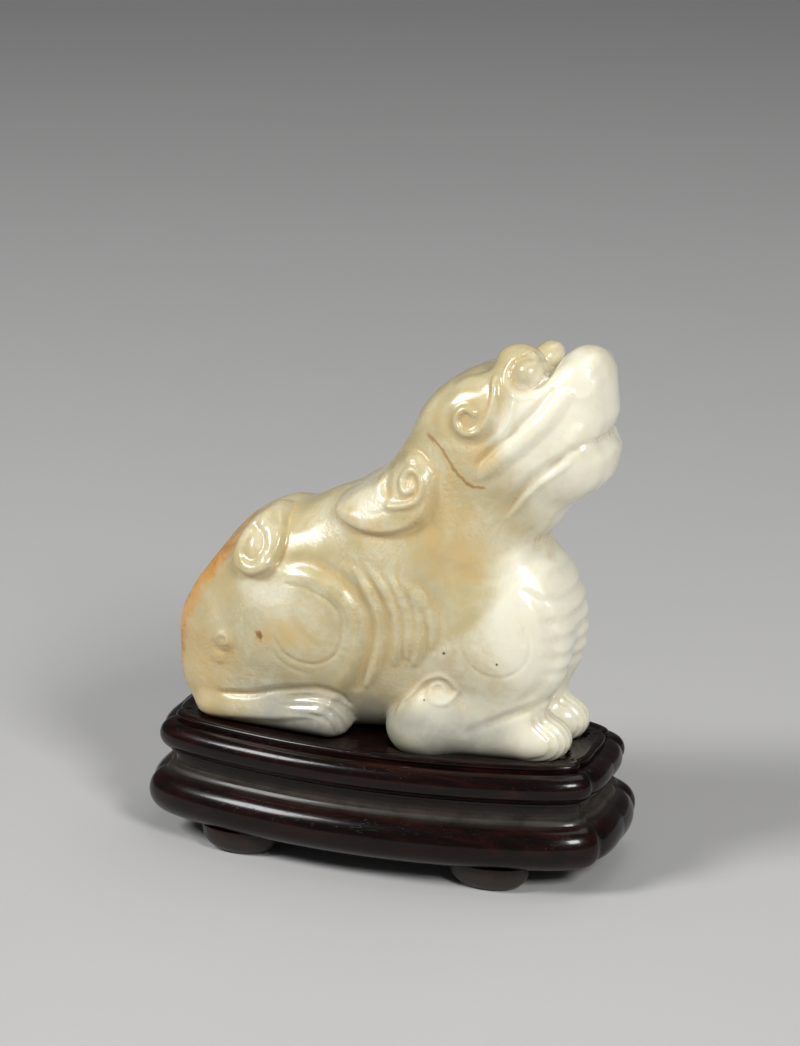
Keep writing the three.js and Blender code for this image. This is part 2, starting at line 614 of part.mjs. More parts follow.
// The body of the stand: a lathed profile, its circle bent to the plan. Each section point is an offset from
// the plan and a height.
function standBody() {
  const sections = [
    [1.6, FOOT_HEIGHT],
    ...nose(1.6, LOWER_Z, LOWER_OUT, LOWER_HALF, 5),
    [1.7, WAIST_LOW_Z], [0.5, WAIST_LOW_Z], [0.5, WAIST_HIGH_Z], [1.3, WAIST_HIGH_Z],
    [1.3, WAIST_HIGH_Z + 0.5],
    ...nose(0.8, UPPER_Z, UPPER_OUT, UPPER_HALF, 4),
    [0.1, 18.95], [0.35, 19.5], [-0.1, RIM_Z], [-0.9, RIM_Z], [-1.2, TOP_Z],
  ];
  const core = RIM_WIDTH / 2;
  const profile = [[-core, FOOT_HEIGHT], ...sections, [-core, TOP_Z]];
  const plan = wholePlan();
  const lathe = new THREE.LatheGeometry(
    profile.map(([offset, z]) => new THREE.Vector2(core + offset, z)), plan.length);
  const position = lathe.attributes.position;
  for (let i = 0; i < position.count; i++) {
    const ring = i % profile.length;
    const { point, out } = plan[Math.floor(i / profile.length) % plan.length];
    const [offset, z] = profile[ring];
    const inward = offset <= -core ? 0 : 1;
    position.setXYZ(i, inward * (point.x + out.x * offset), inward * (point.y + out.y * offset), z);
  }
  return lathe;
}

// A foot: a shallow bowl, flattened front to back. It reaches a little up into the stand's body.
function foot(x, y) {
  const wide = FOOT_WIDTH / 2;
  const section = [
    [0, 0], [FOOT_FLOOR, 0], [wide * 0.82, 0.9], [wide * 0.97, 2.2], [wide, FOOT_HEIGHT + 0.5],
    [0, FOOT_HEIGHT + 0.5],
  ];
  const bowl = new THREE.LatheGeometry(section.map(([r, z]) => new THREE.Vector2(r, z)), 14);
  bowl.rotateX(Math.PI / 2);
  bowl.scale(1, FOOT_DEPTH / FOOT_WIDTH, 1);
  bowl.translate(x, y, 0);
  return bowl;
}

// The recess in the stand's top that takes the feet and the belly of the beast.
function recess() {
  const half = [[-34.6, 0], [-33.6, 5.5], [-30, 9], [-24, 10.2], [-9, 12.2], [-4.2, 11.2], [-2.6, 7.6],
    [0.6, 7.8], [1.6, 11], [4.5, 12.2], [9, 12.3], [22, 10], [28.6, 8], [30.4, 5.2], [30.4, 0]];
  const shape = new THREE.Shape();
  shape.moveTo(...half[0]);
  half.slice(1).forEach(([x, y]) => shape.lineTo(x, y));
  half.slice(1, -1).reverse().forEach(([x, y]) => shape.lineTo(x, -y));
  const pocket = new THREE.ExtrudeGeometry(shape, { depth: 4, bevelEnabled: false });
  pocket.translate(JADE_X, 0, SEAT_Z);
  return pocket;
}

// A three.js geometry as a solid for joining and cutting.
function solidOf(geometry) {
  const bare = geometry.clone();
  bare.deleteAttribute('normal');
  bare.deleteAttribute('uv');
  const merged = mergeVertices(bare, 1e-4);
  const whole = [];
  const index = merged.index.array;
  for (let i = 0; i < index.length; i += 3) {
    const [a, b, c] = [index[i], index[i + 1], index[i + 2]];
    if (a !== b && b !== c && c !== a) whole.push(a, b, c);
  }
  return new wasm.Manifold(new wasm.Mesh({
    numProp: 3,
    vertProperties: new Float32Array(merged.attributes.position.array),
    triVerts: new Uint32Array(whole),
  }));
}

// A finished solid as a three.js geometry.
function geometryOfSolid(solid) {
  const { vertProperties, triVerts } = solid.getMesh();
  const geometry = new THREE.BufferGeometry();
  geometry.setAttribute('position', new THREE.Float32BufferAttribute(vertProperties, 3));
  geometry.setIndex([...triVerts]);
  geometry.computeVertexNormals();
  return geometry;
}

let stand = solidOf(standBody());
for (const x of [-FOOT_X, FOOT_X]) {
  for (const y of [-FOOT_Y, FOOT_Y]) stand = stand.add(solidOf(foot(x, y)));
}
stand = stand.subtract(solidOf(recess()));
const woodMaterial = new THREE.MeshStandardMaterial({ color: WOOD_COLOR, roughness: 0.35 });
const hardwood = new THREE.Mesh(geometryOfSolid(stand), woodMaterial);
hardwood.name = 'hardwood_stand';

const part = new THREE.Group();
part.add(jade, hardwood);
export default part;
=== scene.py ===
"""A mythical beast carved in jade, lying on its hardwood stand, dressed for the render.

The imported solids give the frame. Both pieces are made again here in finer relief, inside the same sizes: the
jade is a fine skin moved onto the carving's own masses and carved lines, and the stand is swept and turned
with smooth mouldings. Blender's unit is the metre; the carving's forms are given in millimetres in its own
frame, whose origin is under the beast, on the floor of the recess.
"""
import logging
import math
from dataclasses import dataclass, field
from enum import Enum
from typing import Any, Iterable, Sequence

import bmesh
import bpy
import numpy as np
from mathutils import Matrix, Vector


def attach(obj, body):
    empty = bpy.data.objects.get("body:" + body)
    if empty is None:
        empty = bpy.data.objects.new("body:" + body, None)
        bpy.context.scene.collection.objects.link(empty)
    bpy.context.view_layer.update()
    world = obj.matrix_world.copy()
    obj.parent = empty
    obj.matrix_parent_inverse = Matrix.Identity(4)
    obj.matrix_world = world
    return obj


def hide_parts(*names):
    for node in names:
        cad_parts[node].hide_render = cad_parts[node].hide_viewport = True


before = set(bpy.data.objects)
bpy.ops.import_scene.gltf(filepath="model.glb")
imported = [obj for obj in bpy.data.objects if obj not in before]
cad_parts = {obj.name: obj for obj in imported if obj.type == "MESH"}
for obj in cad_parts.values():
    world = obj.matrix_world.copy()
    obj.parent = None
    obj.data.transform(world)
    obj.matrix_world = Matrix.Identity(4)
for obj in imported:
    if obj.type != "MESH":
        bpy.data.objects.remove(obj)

log = logging.getLogger("jade_beast")

MM = 0.001
SEAT_Z = 19.0            # floor of the recess on which the jade rests, above the table
JADE_X = 0.5             # the jade lies this much forward of the stand's middle

Plan = tuple[float, float]
Shade = tuple[float, float, float, float]
Spot = tuple[float, float, float, float]


# Numbers on arrays of points

def smoothstep(value: np.ndarray, low: float, high: float) -> np.ndarray:
    """Smooth rise from 0 at low to 1 at high."""
    t = np.clip((value - low) / (high - low), 0.0, 1.0)
    return t * t * (3.0 - 2.0 * t)


def blend(a: np.ndarray, b: np.ndarray, k: float) -> np.ndarray:
    """Joins two distance fields with a fillet about k wide."""
    h = np.maximum(k - np.abs(a - b), 0.0) / k
    return np.minimum(a, b) - h * h * k / 4.0


def cut(a: np.ndarray, b: np.ndarray, k: float) -> np.ndarray:
    """Cuts one distance field by another with a rounded edge about k wide."""
    return -blend(-a, -b, k)


def curl(x: float, z: float, r0: float, r1: float, start: float, turn: float, count: int = 14) -> list[Plan]:
    """Points of a curl in the side view.

    Args:
        x: Its centre, forward.
        z: Its centre, up.
        r0: Radius where it starts.
        r1: Radius where it ends.
        start: Angle where it starts, in degrees.
        turn: How far it turns, in degrees.
        count: How many steps it has.

    Returns:
        The points, from its start to its end.
    """
    points = []
    for i in range(count + 1):
        angle = math.radians(start + turn * i / count)
        r = r0 + (r1 - r0) * i / count
        points.append((x + r * math.cos(angle), z + r * math.sin(angle)))
    return points


class Track:
    """A smooth line through points of the side view, as short straight steps."""

    def __init__(self, points: Sequence[Plan], closed: bool = False, steps: int = 4) -> None:
        """Samples a centripetal spline through the points."""
        self.chain = self._spline(np.array(points, float), closed, steps)
        self.low = self.chain.min(axis=0)
        self.high = self.chain.max(axis=0)
        runs = np.linalg.norm(np.diff(self.chain, axis=0), axis=1)
        self.starts = np.concatenate([[0.0], np.cumsum(runs)])
        self.length = float(self.starts[-1])

    @staticmethod
    def _spline(points: np.ndarray, closed: bool, steps: int) -> np.ndarray:
        """Points of the spline, steps of them for each given point."""
        count = len(points)
        spans = count if closed else count - 1
        samples = []
        for i in range(count * steps + 1):
            place = spans * i / (count * steps)
            first = min(int(place), spans - 1)
            weight = place - first
            if closed:
                p0, p1, p2, p3 = (points[(first + k) % count] for k in (-1, 0, 1, 2))
            else:
                p1, p2 = points[first], points[first + 1]
                p0 = points[first - 1] if first > 0 else 2 * p1 - p2
                p3 = points[first + 2] if first + 2 < count else 2 * p2 - p1
            d0, d1, d2 = (max(math.dist(a, b), 1e-8) ** 0.5 for a, b in ((p0, p1), (p1, p2), (p2, p3)))
            t1 = ((p1 - p0) / d0 - (p2 - p0) / (d0 + d1) + (p2 - p1) / d1) * d1
            t2 = ((p2 - p1) / d1 - (p3 - p1) / (d1 + d2) + (p3 - p2) / d2) * d1
            c2 = -3 * p1 + 3 * p2 - 2 * t1 - t2
            c3 = 2 * p1 - 2 * p2 + t1 + t2
            samples.append(p1 + weight * (t1 + weight * (c2 + weight * c3)))
        return np.array(samples)

    def near(self, x: np.ndarray, z: np.ndarray, reach: float) -> np.ndarray:
        """Indices of the points in the line's box, widened by reach."""
        low = self.low - reach
        high = self.high + reach
        return np.nonzero((x > low[0]) & (x < high[0]) & (z > low[1]) & (z < high[1]))[0]

    def measure(self, x: np.ndarray, z: np.ndarray) -> tuple[np.ndarray, np.ndarray, np.ndarray]:
        """Distance to the line, which side of it (+1 is left of its way), and how far along it."""
        best = np.full(len(x), 1e12)
        side = np.ones(len(x))
        along = np.zeros(len(x))
        for i in range(len(self.chain) - 1):
            a = self.chain[i]
            e = self.chain[i + 1] - a
            size = float(e @ e)
            if size < 1e-12:
                continue
            dx = x - a[0]
            dz = z - a[1]
            t = np.clip((dx * e[0] + dz * e[1]) / size, 0.0, 1.0)
            gap = (dx - t * e[0]) ** 2 + (dz - t * e[1]) ** 2
            closer = gap < best
            best = np.where(closer, gap, best)
            side = np.where(closer, np.sign(e[0] * dz - e[1] * dx), side)
            along = np.where(closer, self.starts[i] + t * math.sqrt(size), along)
        return np.sqrt(best), side, along

    def inside(self, x: np.ndarray, z: np.ndarray) -> np.ndarray:
        """True at points inside the closed line."""
        found = np.zeros(len(x), bool)
        for a, b in zip(self.chain[:-1], self.chain[1:]):
            if a[1] == b[1]:
                continue
            crosses = (a[1] > z) != (b[1] > z)
            found ^= crosses & (x < a[0] + (z - a[1]) / (b[1] - a[1]) * (b[0] - a[0]))
        return found

    def signed(self, x: np.ndarray, z: np.ndarray) -> np.ndarray:
        """Distance to the closed line, negative inside it."""
        distance = self.measure(x, z)[0]
        return np.where(self.inside(x, z), -distance, distance)


# The masses of the carving

@dataclass(frozen=True)
class Egg:
    """An egg: centre, half sizes, and pitch in the side view, nose up, in degrees."""

    x: float
    y: float
    z: float
    rx: float
    ry: float
    rz: float
    pitch: float = 0.0

    def distance(self, x: np.ndarray, y: np.ndarray, z: np.ndarray) -> np.ndarray:
        """How far outside the egg each point is."""
        c = math.cos(math.radians(self.pitch))
        s = math.sin(math.radians(self.pitch))
        dx = x - self.x
        dz = z - self.z
        u = (dx * c + dz * s) / self.rx
        v = (y - self.y) / self.ry
        w = (-dx * s + dz * c) / self.rz
        near = np.sqrt(u * u + v * v + w * w)
        steep = np.sqrt((u / self.rx) ** 2 + (v / self.ry) ** 2 + (w / self.rz) ** 2)
        return near * (near - 1.0) / np.maximum(steep, 1e-6)


@dataclass(frozen=True)
class Limb:
    """A straight tapered bar with round ends: two ends with radii, wider or flatter across by a factor."""

    a: tuple[float, float, float]
    ra: float
    b: tuple[float, float, float]
    rb: float
    wide: float = 1.0

    def distance(self, x: np.ndarray, y: np.ndarray, z: np.ndarray) -> np.ndarray:
        """How far outside the bar each point is."""
        d = [self.b[0] - self.a[0], (self.b[1] - self.a[1]) / self.wide, self.b[2] - self.a[2]]
        q = [x - self.a[0], (y - self.a[1]) / self.wide, z - self.a[2]]
        size = sum(k * k for k in d)
        t = np.clip(sum(m * k for m, k in zip(q, d)) / size, 0.0, 1.0)
        gap = np.sqrt(sum((m - t * k) ** 2 for m, k in zip(q, d)))
        return gap - (self.ra + (self.rb - self.ra) * t)


# The carved lines and raised parts

class Section(Enum):
    """The cross-section of a carved line: a round ridge or a sharp cut."""

    ROUND = "round"
    INCISED = "incised"


@dataclass(frozen=True)
class Stroke:
    """A ridge along a line of the side view, or a groove where its height is below zero.

    It begins start millimetres from the middle plane, has its full height at full, and its ends narrow over
    taper.
    """

    points: Sequence[Plan]
    half: float
    height: float
    start: float
    full: float
    section: Section = Section.ROUND
    taper: float = 0.0

    def rise(self, track: Track, x: np.ndarray, side: np.ndarray,
             z: np.ndarray) -> tuple[np.ndarray, np.ndarray]:
        """The points that it reaches, and its height there."""
        index = track.near(x, z, self.half)
        distance, _, along = track.measure(x[index], z[index])
        width = np.full(len(index), self.half)
        scale = np.ones(len(index))
        if self.taper > 0.0:
            ends = np.minimum(along, track.length - along) / self.taper
            scale = np.sqrt(np.clip(ends, 0.0, 1.0))
            width = self.half * (0.35 + 0.65 * scale)
        t = np.clip(distance / width, 0.0, 1.0)
        if self.section is Section.ROUND:
            shape = (1.0 - t * t) ** 2
        else:
            shape = (1.0 - t) ** 1.5
        return index, self.height * shape * scale * smoothstep(side[index], self.start, self.full)


@dataclass(frozen=True)
class Terrace:
    """A part raised inside a closed line, with a slope round it and a crown of its own.

    It begins start millimetres from the middle plane and has its full height at full.
    """

    points: Sequence[Plan]
    slope: float
    height: float
    crown: float
    start: float
    full: float

    def rise(self, track: Track, x: np.ndarray, side: np.ndarray,
             z: np.ndarray) -> tuple[np.ndarray, np.ndarray]:
        """The points that it reaches, and its height there."""
        index = track.near(x, z, self.slope)
        depth = -track.signed(x[index], z[index])
        rise = self.height * smoothstep(depth, -self.slope / 2, self.slope / 2)
        rise = rise + self.crown * np.clip(depth / 4.0, 0.0, 1.0)
        return index, rise * smoothstep(side[index], self.start, self.full)


Relief = Stroke | Terrace

# The side view of the carving, and its masses, each with the fillet that joins it to the ones before
OUTLINE: list[Plan] = [
    (-31, -4), (-33.2, 0.2), (-34, 4.3), (-35.2, 8.5), (-35.1, 12), (-33.9, 17.1), (-31.2, 22.1),
    (-27.8, 26.8), (-23.1, 33), (-19.4, 35.8), (-16.8, 36.6), (-14.7, 36.1), (-9.7, 38.5), (-3.5, 41),
    (0.7, 45), (3.5, 49.5), (6.2, 54.4), (9, 57.2), (12.8, 59.4), (17, 60.4), (20.4, 61.7), (23, 61.3),
    (25.2, 59.8), (26.6, 62.6), (28.5, 64.7), (31, 65.3), (33.5, 64.6), (35, 62.8), (35.7, 60.3),
    (36.3, 57.6), (36.5, 54.2), (34.6, 50.9), (36.4, 49.4), (36.3, 47.2), (35.4, 44.2), (32.3, 41.4),
    (29.6, 39), (27.4, 36.2), (25.7, 33.6), (27.9, 31.6), (30, 28.4), (31.1, 24.5), (30.4, 18.7),
    (29.1, 14.1), (26.8, 10.4), (24.5, 6), (24, -4),
]

BODY: list[tuple[Egg | Limb, float]] = [
    (Egg(-2, 0, 20.5, 27, 12.2, 20, 10), 1),                        # trunk
    (Limb((-15, 0, 24), 10.5, (5, 0, 31), 10.5, 1.06), 5),          # back
    (Egg(-19, 0, 16.5, 18.5, 11, 18.5, 52), 5),                     # rump
    (Egg(-26.6, 0, 6.5, 9, 8, 7.5), 4),                             # seat
    (Egg(18.2, 0, 20.5, 13.4, 10.8, 16), 5),                        # chest
    (Limb((4, 0, 33), 12, (13, 0, 48), 10.2, 0.9), 5),              # neck
]

HEAD: list[tuple[Egg | Limb, float]] = [
    (Egg(15.5, 0, 51, 12, 8.8, 12, 35), 1),                         # skull
    (Limb((11, 0, 51.5), 8, (22, 0, 56.4), 6.8, 1.05), 3),          # crown
    (Limb((19, 0, 52.5), 7.4, (29, 0, 56), 5.9, 0.96), 4),          # upper muzzle
    (Egg(25.5, 0, 51.5, 10.5, 7.2, 8.5, 50), 5),                    # cheek
    (Limb((12, 0, 40), 7.6, (29.5, 0, 46.6), 6.7), 6),              # lower jaw
    (Limb((16, 0, 36), 8, (23.6, 0, 38.6), 5.2, 1.1), 3),           # throat
    (Egg(30.4, 0, 60, 5.5, 5.8, 5.3), 2),                           # nose
]

LIMBS: list[tuple[Egg | Limb, float]] = [
    (Egg(-12, 6.5, 18, 11, 6.4, 11), 1.2),                          # haunch
    (Limb((-27, 5.5, 3.5), 3.6, (-8, 7.4, 4.2), 4.2), 0.8),         # hind foot
    (Egg(19.8, 4.5, 18, 10, 6.6, 12.5), 2),                         # shoulder
    (Limb((6, 7, 3.8), 4.3, (10.6, 6.9, 9.4), 3.5), 0.6),           # elbow
    (Limb((9, 6.6, 3.6), 4.2, (23, 5.2, 3.6), 4), 5),               # forearm
    (Egg(25.2, 4.6, 3.2, 5.3, 4.2, 3.9), 1),                        # paw
    (Egg(23.2, 4.9, 61.1, 2, 2.6, 1.9), 0.5),                       # eye
    (Egg(19.4, 3.8, 58.8, 4.4, 3, 2.4, 30), 1.5),                   # brow
]
NEAR_BROW = (Egg(21.2, -2.7, 61.5, 3.9, 2.7, 3), 1.4)               # the near brow is carved the higher one
HEAD_FILLET = 2.5                                                   # between the head and the body
OUTLINE_FILLET = 4.0                                                # round the edge of the side view

# Lines of the ribs, and the height and depth of each chest groove
RIBS: list[list[Plan]] = [
    [(-2.1, 29.9), (0.3, 26.9), (1.8, 23.4), (2.2, 19.5), (1.3, 15.1), (-1, 9.8)],
    [(0.2, 30.7), (3, 27.1), (4.5, 23.5), (4.9, 19.1), (4.1, 14.3)],
    [(3.3, 30), (5.2, 27.1), (6.4, 23.5), (6.7, 19), (6, 15.5)],
    [(5.6, 29.2), (7.6, 26.3), (8.4, 22.2), (8.1, 17.7), (7, 14.4)],
    [(7.4, 28.4), (9.4, 25.3), (10.4, 21.5), (10.2, 17.7)],
]

CHEST_GROOVES: list[Plan] = [(29.2, 0.4), (26.0, 0.42), (22.8, 0.36), (19.8, 0.3), (17.0, 0.26), (14.4, 0.22)]

RELIEFS: list[Relief] = [
    # Haunch: its step over the flank with a soft rim and a valley outside it, and the spiral cut into it
    Terrace([(-13.4, 28.2), (-9.9, 28.4), (-5.7, 27.3), (-2.6, 25), (-0.8, 21.2), (-0.8, 16.7), (-2.3, 12.3),
             (-4.4, 9.4), (-8, 5), (-44, 4), (-44, 45), (-19, 40), (-17, 31)], 1.4, 0.5, 0, 5, 8),
    Stroke([(-12.6, 27.1), (-9, 27.2), (-5.8, 26), (-3, 23.6), (-1.8, 20.1), (-1.9, 16.6), (-3.4, 12.8),
            (-5.2, 10.3)], 0.9, 0.16, 5, 8, taper=3),
    Stroke([(-13, 29.4), (-9.3, 29.7), (-4.8, 28.3), (-1.4, 25.6), (0.4, 21.4), (0.4, 16.5), (-1.1, 11.9),
            (-3, 9)], 1.7, -0.4, 5, 8, taper=4),
    Stroke([(-13.9, 26.2), (-8.9, 25.6), (-4.7, 23.2), (-3.9, 19.8), (-4.9, 15.9), (-6.7, 14.2), (-9.1, 13.5),
            (-13, 14.8), (-15, 17.9)], 0.48, -0.26, 5, 8, Section.INCISED, taper=1.5),
    Stroke([(-15.6, 17.4), (-14.9, 14.6), (-12.5, 12.6), (-9, 11.6)], 0.45, -0.2, 5, 8, Section.INCISED,
           taper=2),
    # Hind foot: the crease above it and its toes; two small swirls at the hock
    Stroke([(-26, 5.6), (-20, 6.3), (-16.4, 7.6), (-11.5, 8.8), (-8, 9.2), (-5.2, 8.2), (-3.6, 6)],
           0.9, -0.55, 5, 8, taper=3),
    Stroke([(-15, 5.5), (-10.6, 6), (-8.1, 6.3), (-6.2, 5.4), (-5, 3.7), (-4.8, 1.5)], 0.55, -0.3, 5, 8,
           taper=3),
    Stroke([(-14, 4.4), (-10.1, 4.8), (-8.2, 4.7), (-6.6, 3.8), (-6.1, 1.5)], 0.5, -0.3, 5, 8, taper=3),
    Stroke([(-14, 6.7), (-9.3, 7.4), (-6.7, 7.1), (-4.4, 5.2), (-3.6, 2)], 0.55, -0.3, 5, 8, taper=3),
    Terrace(curl(-23.9, 15.3, 1.7, 1.7, 0, 330), 1.2, 0.3, 0.2, 3, 6),
    Stroke(curl(-23.9, 15.3, 1.35, 0.5, 200, -330), 0.5, 0.28, 3, 6, taper=0.8),
    Terrace(curl(-25.2, 12, 1.1, 1.1, 0, 330), 1.0, 0.25, 0.2, 3, 6),
    # Ribs, chest and shoulder
    *[Stroke(points, 1.3, 0.68, 5, 8, taper=4) for points in RIBS],
    *[Stroke([(34, z - 0.5), (30, z), (26.6, z + 0.7)], 1.25, -deep, -1, 0, taper=2.5)
      for z, deep in CHEST_GROOVES],
    Stroke([(23.5, 28.3), (26.4, 25.8), (28.1, 20.8), (27.9, 16.4), (25.9, 12.5), (23, 10)],
           1.2, -0.3, 3, 6, taper=3),
    Stroke(curl(20.1, 19.6, 5.3, 5.1, 70, -290), 0.42, -0.16, 4, 7, Section.INCISED, taper=3),
    # Elbow scroll and the crease between shoulder and forearm
    Stroke([(4.2, 6), (4.9, 8), (6.9, 10.3), (9.3, 12.7), (11.5, 13.3), (13.2, 12.2), (13.6, 10.7),
            (11.9, 9.0), (9.8, 9.5), (9.5, 11.1), (11, 12), (12.1, 10.9)], 0.55, 0.3, 5, 8, taper=1),
    Stroke([(14.5, 4.4), (18, 5.8), (22, 7.8), (26, 9.6), (28, 10.2)], 1.2, -0.3, 3, 6, taper=4),
    # Ear: a thick leaf laid back along the neck, with a curl in a hollow at its root
    Terrace([(-6.2, 38.2), (-3.6, 40.6), (0.4, 43), (4, 46.6), (6.7, 47.7), (9.2, 46.2), (10.2, 42.6),
             (8.9, 38.8), (5.7, 36.5), (1.7, 35.7), (-2.5, 36), (-5.2, 36.9)], 1.4, 1.5, 0.5, 2, 5),
    Stroke([(5.4, 47), (3.6, 46.1), (2.5, 44.2), (2.6, 42.3), (3.6, 41.2)], 1.4, -0.5, 3, 6, taper=1.5),
    Stroke([(6.6, 47), (9, 45.6), (9.9, 42.6), (8.6, 39.7)], 1.1, -0.2, 3, 6, taper=1.5),
    Stroke([(-4.8, 38), (-1.5, 37.5), (2, 37.9), (4.6, 38.8)], 1.3, 0.2, 3, 6, taper=2),
    Stroke([(2.9, 40.2), (5.6, 40.4), (7.6, 41.2), (8.6, 43), (8.3, 45), (6.9, 45.9), (5.6, 45.1),
            (5.3, 43.8), (6, 42.6), (6.9, 43), (6.9, 44.2)], 0.8, 0.6, 3, 6, taper=0.8),
    # Jowl over the neck and chest, cheek ridge with the hollow behind it
    Terrace([(8, 38), (10.4, 33.5), (13.6, 31.3), (19.5, 30.6), (23.9, 32.3), (29, 36), (40, 45),
             (40, 70), (20, 70), (12, 58), (9, 47)], 2.6, 0.4, 0, 3, 6),
    Stroke([(30.5, 59.5), (28.9, 57.8), (27.2, 55.2), (24.9, 52.7), (22.2, 50.2), (19.6, 47.8), (16.5, 44.8)],
           1.9, 0.6, 2, 4, taper=4),
    Stroke([(27.6, 59.4), (25.6, 56.6), (23.3, 54.1), (20.7, 51.6), (18.4, 49.3), (16.3, 46.9)],
           1.2, -0.6, 2, 4, taper=3),
    # Mouth, the leaf-shaped jaw line and the drop on the lip
    Stroke([(37, 51), (34.3, 51.2), (33, 51.5), (31.9, 51.1), (30.5, 50.2), (28.6, 48.9), (26.6, 47.4)],
           0.8, -0.3, -1, 1, taper=1.5),
    Stroke([(30, 49.4), (28.2, 48), (25.1, 45.7), (22.7, 42.9), (20.6, 38.9)], 1.3, -0.42, 2, 4, taper=2.5),
    Stroke([(31, 49), (29.3, 47.5), (26.7, 45.4), (23.9, 42.7), (20.8, 38.8)], 0.75, 0.3, 2, 4, taper=2),
    Stroke([(31.6, 53.3), (30.8, 52)], 1.5, 0.26, 2, 4),
    # Brow curl in its hollow, the fold and the rings under the eye, the swirl on the nose
    Stroke([(12.2, 55.6), (12, 53.2), (13.3, 51), (15.7, 50.4), (18.4, 51.6), (20, 54.4), (20.2, 58)],
           1.1, -0.3, 3, 6, taper=1.5),
    Stroke([(18.3, 60.6), (18.8, 58.7), (18.8, 56.6), (18.1, 54.3), (16.7, 52.5), (15.1, 52),
            (13.7, 52.9), (13.3, 54.4), (14.4, 55.6), (15.8, 55.3), (16.3, 54.3)], 0.8, 0.66, 4, 7, taper=1),
    Stroke([(22.2, 58.4), (21.9, 56.6), (21.5, 54.4), (20.7, 52.4), (19.5, 50.7)],
           0.65, 0.4, 2, 5, taper=1.5),
    Stroke(curl(23.2, 61, 2.4, 2.4, 60, 330), 0.5, -0.35, 2, 4, taper=0.6),
    Stroke(curl(23.2, 61, 3.2, 3.2, 150, 160), 0.5, 0.2, 3, 6, taper=1),
    Stroke(curl(31.9, 60.3, 2.3, 1.8, 60, 300), 0.9, 0.13, 1.5, 3.5),
]

TAIL: list[Relief] = [
    Terrace([(-16.6, 36.6), (-15, 35.2), (-14.2, 32.4), (-14.8, 29.6), (-16.4, 27.7), (-18.7, 26.8),
             (-21.1, 27.4), (-22.3, 29.2), (-21.8, 31.7), (-20.5, 34), (-18.6, 36)], 1.1, 1.4, 0, 1.5, 4.5),
    Stroke([(-18.4, 35.8), (-16.8, 33.8), (-15.9, 31.7), (-16.1, 29.8), (-17.4, 28.3), (-19.3, 28.1),
            (-20.8, 29.2)], 1.2, 0.32, 3, 6, taper=1.5),
    Stroke([(-19.6, 34), (-18.3, 33.3), (-17.4, 32), (-17.4, 30.4), (-18.3, 29.4), (-19.6, 29.5),
            (-20.5, 30.7)], 0.8, -0.3, 3, 6, taper=1),
    Terrace([(-18.9, 32.7), (-18.3, 31.7), (-18.4, 30.7), (-19, 30.3), (-19.6, 31), (-19.5, 32.1)],
            0.7, 0.12, 0.5, 3, 6),
]
TAIL_CENTRE: Plan = (-18.4, 31.4)
TAIL_FAR_FADE = 6.5                # how much further out the far curl begins

# Soft spots of colour in the side view: x, z, radius and weight
OCHRE_PLACES: list[Spot] = [
    (14, 33, 6, 0.9), (10, 38, 5, 0.6), (16, 57, 4, 0.5), (18, 49, 3.5, 0.7), (12, 46, 4, 0.5),
    (-13, 18.5, 3.2, 0.75), (-9, 17, 4, 0.4), (-30, 14, 7, 0.75), (-26, 24, 5, 0.6), (1, 37, 3.5, 0.6),
    (-28, 5, 6, 0.7), (-24, 13, 3, 0.5), (3, 14, 5, 0.5), (-2, 27, 3, 0.35), (-19, 31, 4, 0.45),
    (23, 60, 3.5, 0.35), (-17, 17, 1.6, 0.9), (21, 42, 3, 0.4), (9, 13, 3, 0.35), (26, 22, 2.5, 0.3),
    (4, 24, 4, 0.35), (-8, 29, 4, 0.4), (20, 8, 4, 0.3),
]
PALE_PLACES: list[Spot] = [
    (31, 59, 8, 1.0), (33, 48, 8, 0.8), (24, 54, 4, 0.4), (27, 22, 7, 0.45), (26, 4, 8, 0.6), (10, 4, 7, 0.7),
    (-8, 4, 5, 0.9), (-16, 3, 5, 0.6), (0, 40, 4, 0.6), (-8, 22, 6, 0.3), (-16, 24, 5, 0.5), (-5, 35, 6, 0.4),
    (24, 30, 6, 0.8), (29, 20, 7, 0.6), (26, 41, 6, 0.6), (22, 52, 4, 0.6), (31, 46, 6, 0.8),
    (-17, 33, 3, 0.6), (29, 55, 6, 0.6),
]
# Where the polish is grainy
GRAIN_PLACES: list[Spot] = [
    (-2, 32, 7, 1.0), (14, 40, 5, 1.0), (4, 42, 5, 0.8), (-14, 21, 7, 0.7), (-27, 14, 8, 0.6),
    (22, 50, 5, 0.5), (12, 47, 5, 0.6), (5, 24, 6, 0.7), (-20, 8, 6, 0.5), (3, 14, 5, 0.5),
]
# Dark flecks and pits on the near side: x, y, z and radius
FLECKS: list[Spot] = [
    (12.1, -11.1, 17.4, 0.32), (20.6, -11.3, 16.7, 0.22), (-17.2, -13.2, 17.3, 0.95), (8.8, -10.6, 9.2, 0.2),
]

TOE_GROOVES = (2.4, 3.5, 4.6, 5.7, 6.8, 7.8)      # distances of the paw's grooves from the middle plane
TOE_GROOVE_DEPTH = 0.3
TOE_GROOVE_HALF = 0.24

# Lines in the side view: the edge of the rump that keeps the russet skin, and the crack behind the cheek
REAR_EDGE: list[Plan] = [
    (-35, 6), (-35.2, 12), (-33.9, 17), (-31.2, 22.1), (-27.8, 26.8), (-23.1, 33), (-18, 36),
]
CRACK: list[Plan] = [(8.2, 51.2), (10.6, 49.7), (12.7, 47), (14.5, 45.1), (15.9, 44), (18.2, 43.4)]
SKIN_WIDTH = 5.5
VEIN_POINT: Plan = (8.0, 16.5)                    # the stone is white before a slanting vein through here
VEIN_ACROSS: Plan = (0.62, -0.78)

HOLLOW_ROUNDS = 14                                # how many times the cells are evened to find the hollows
HOLLOW_FULL = 0.16                                # depth that counts as a full hollow


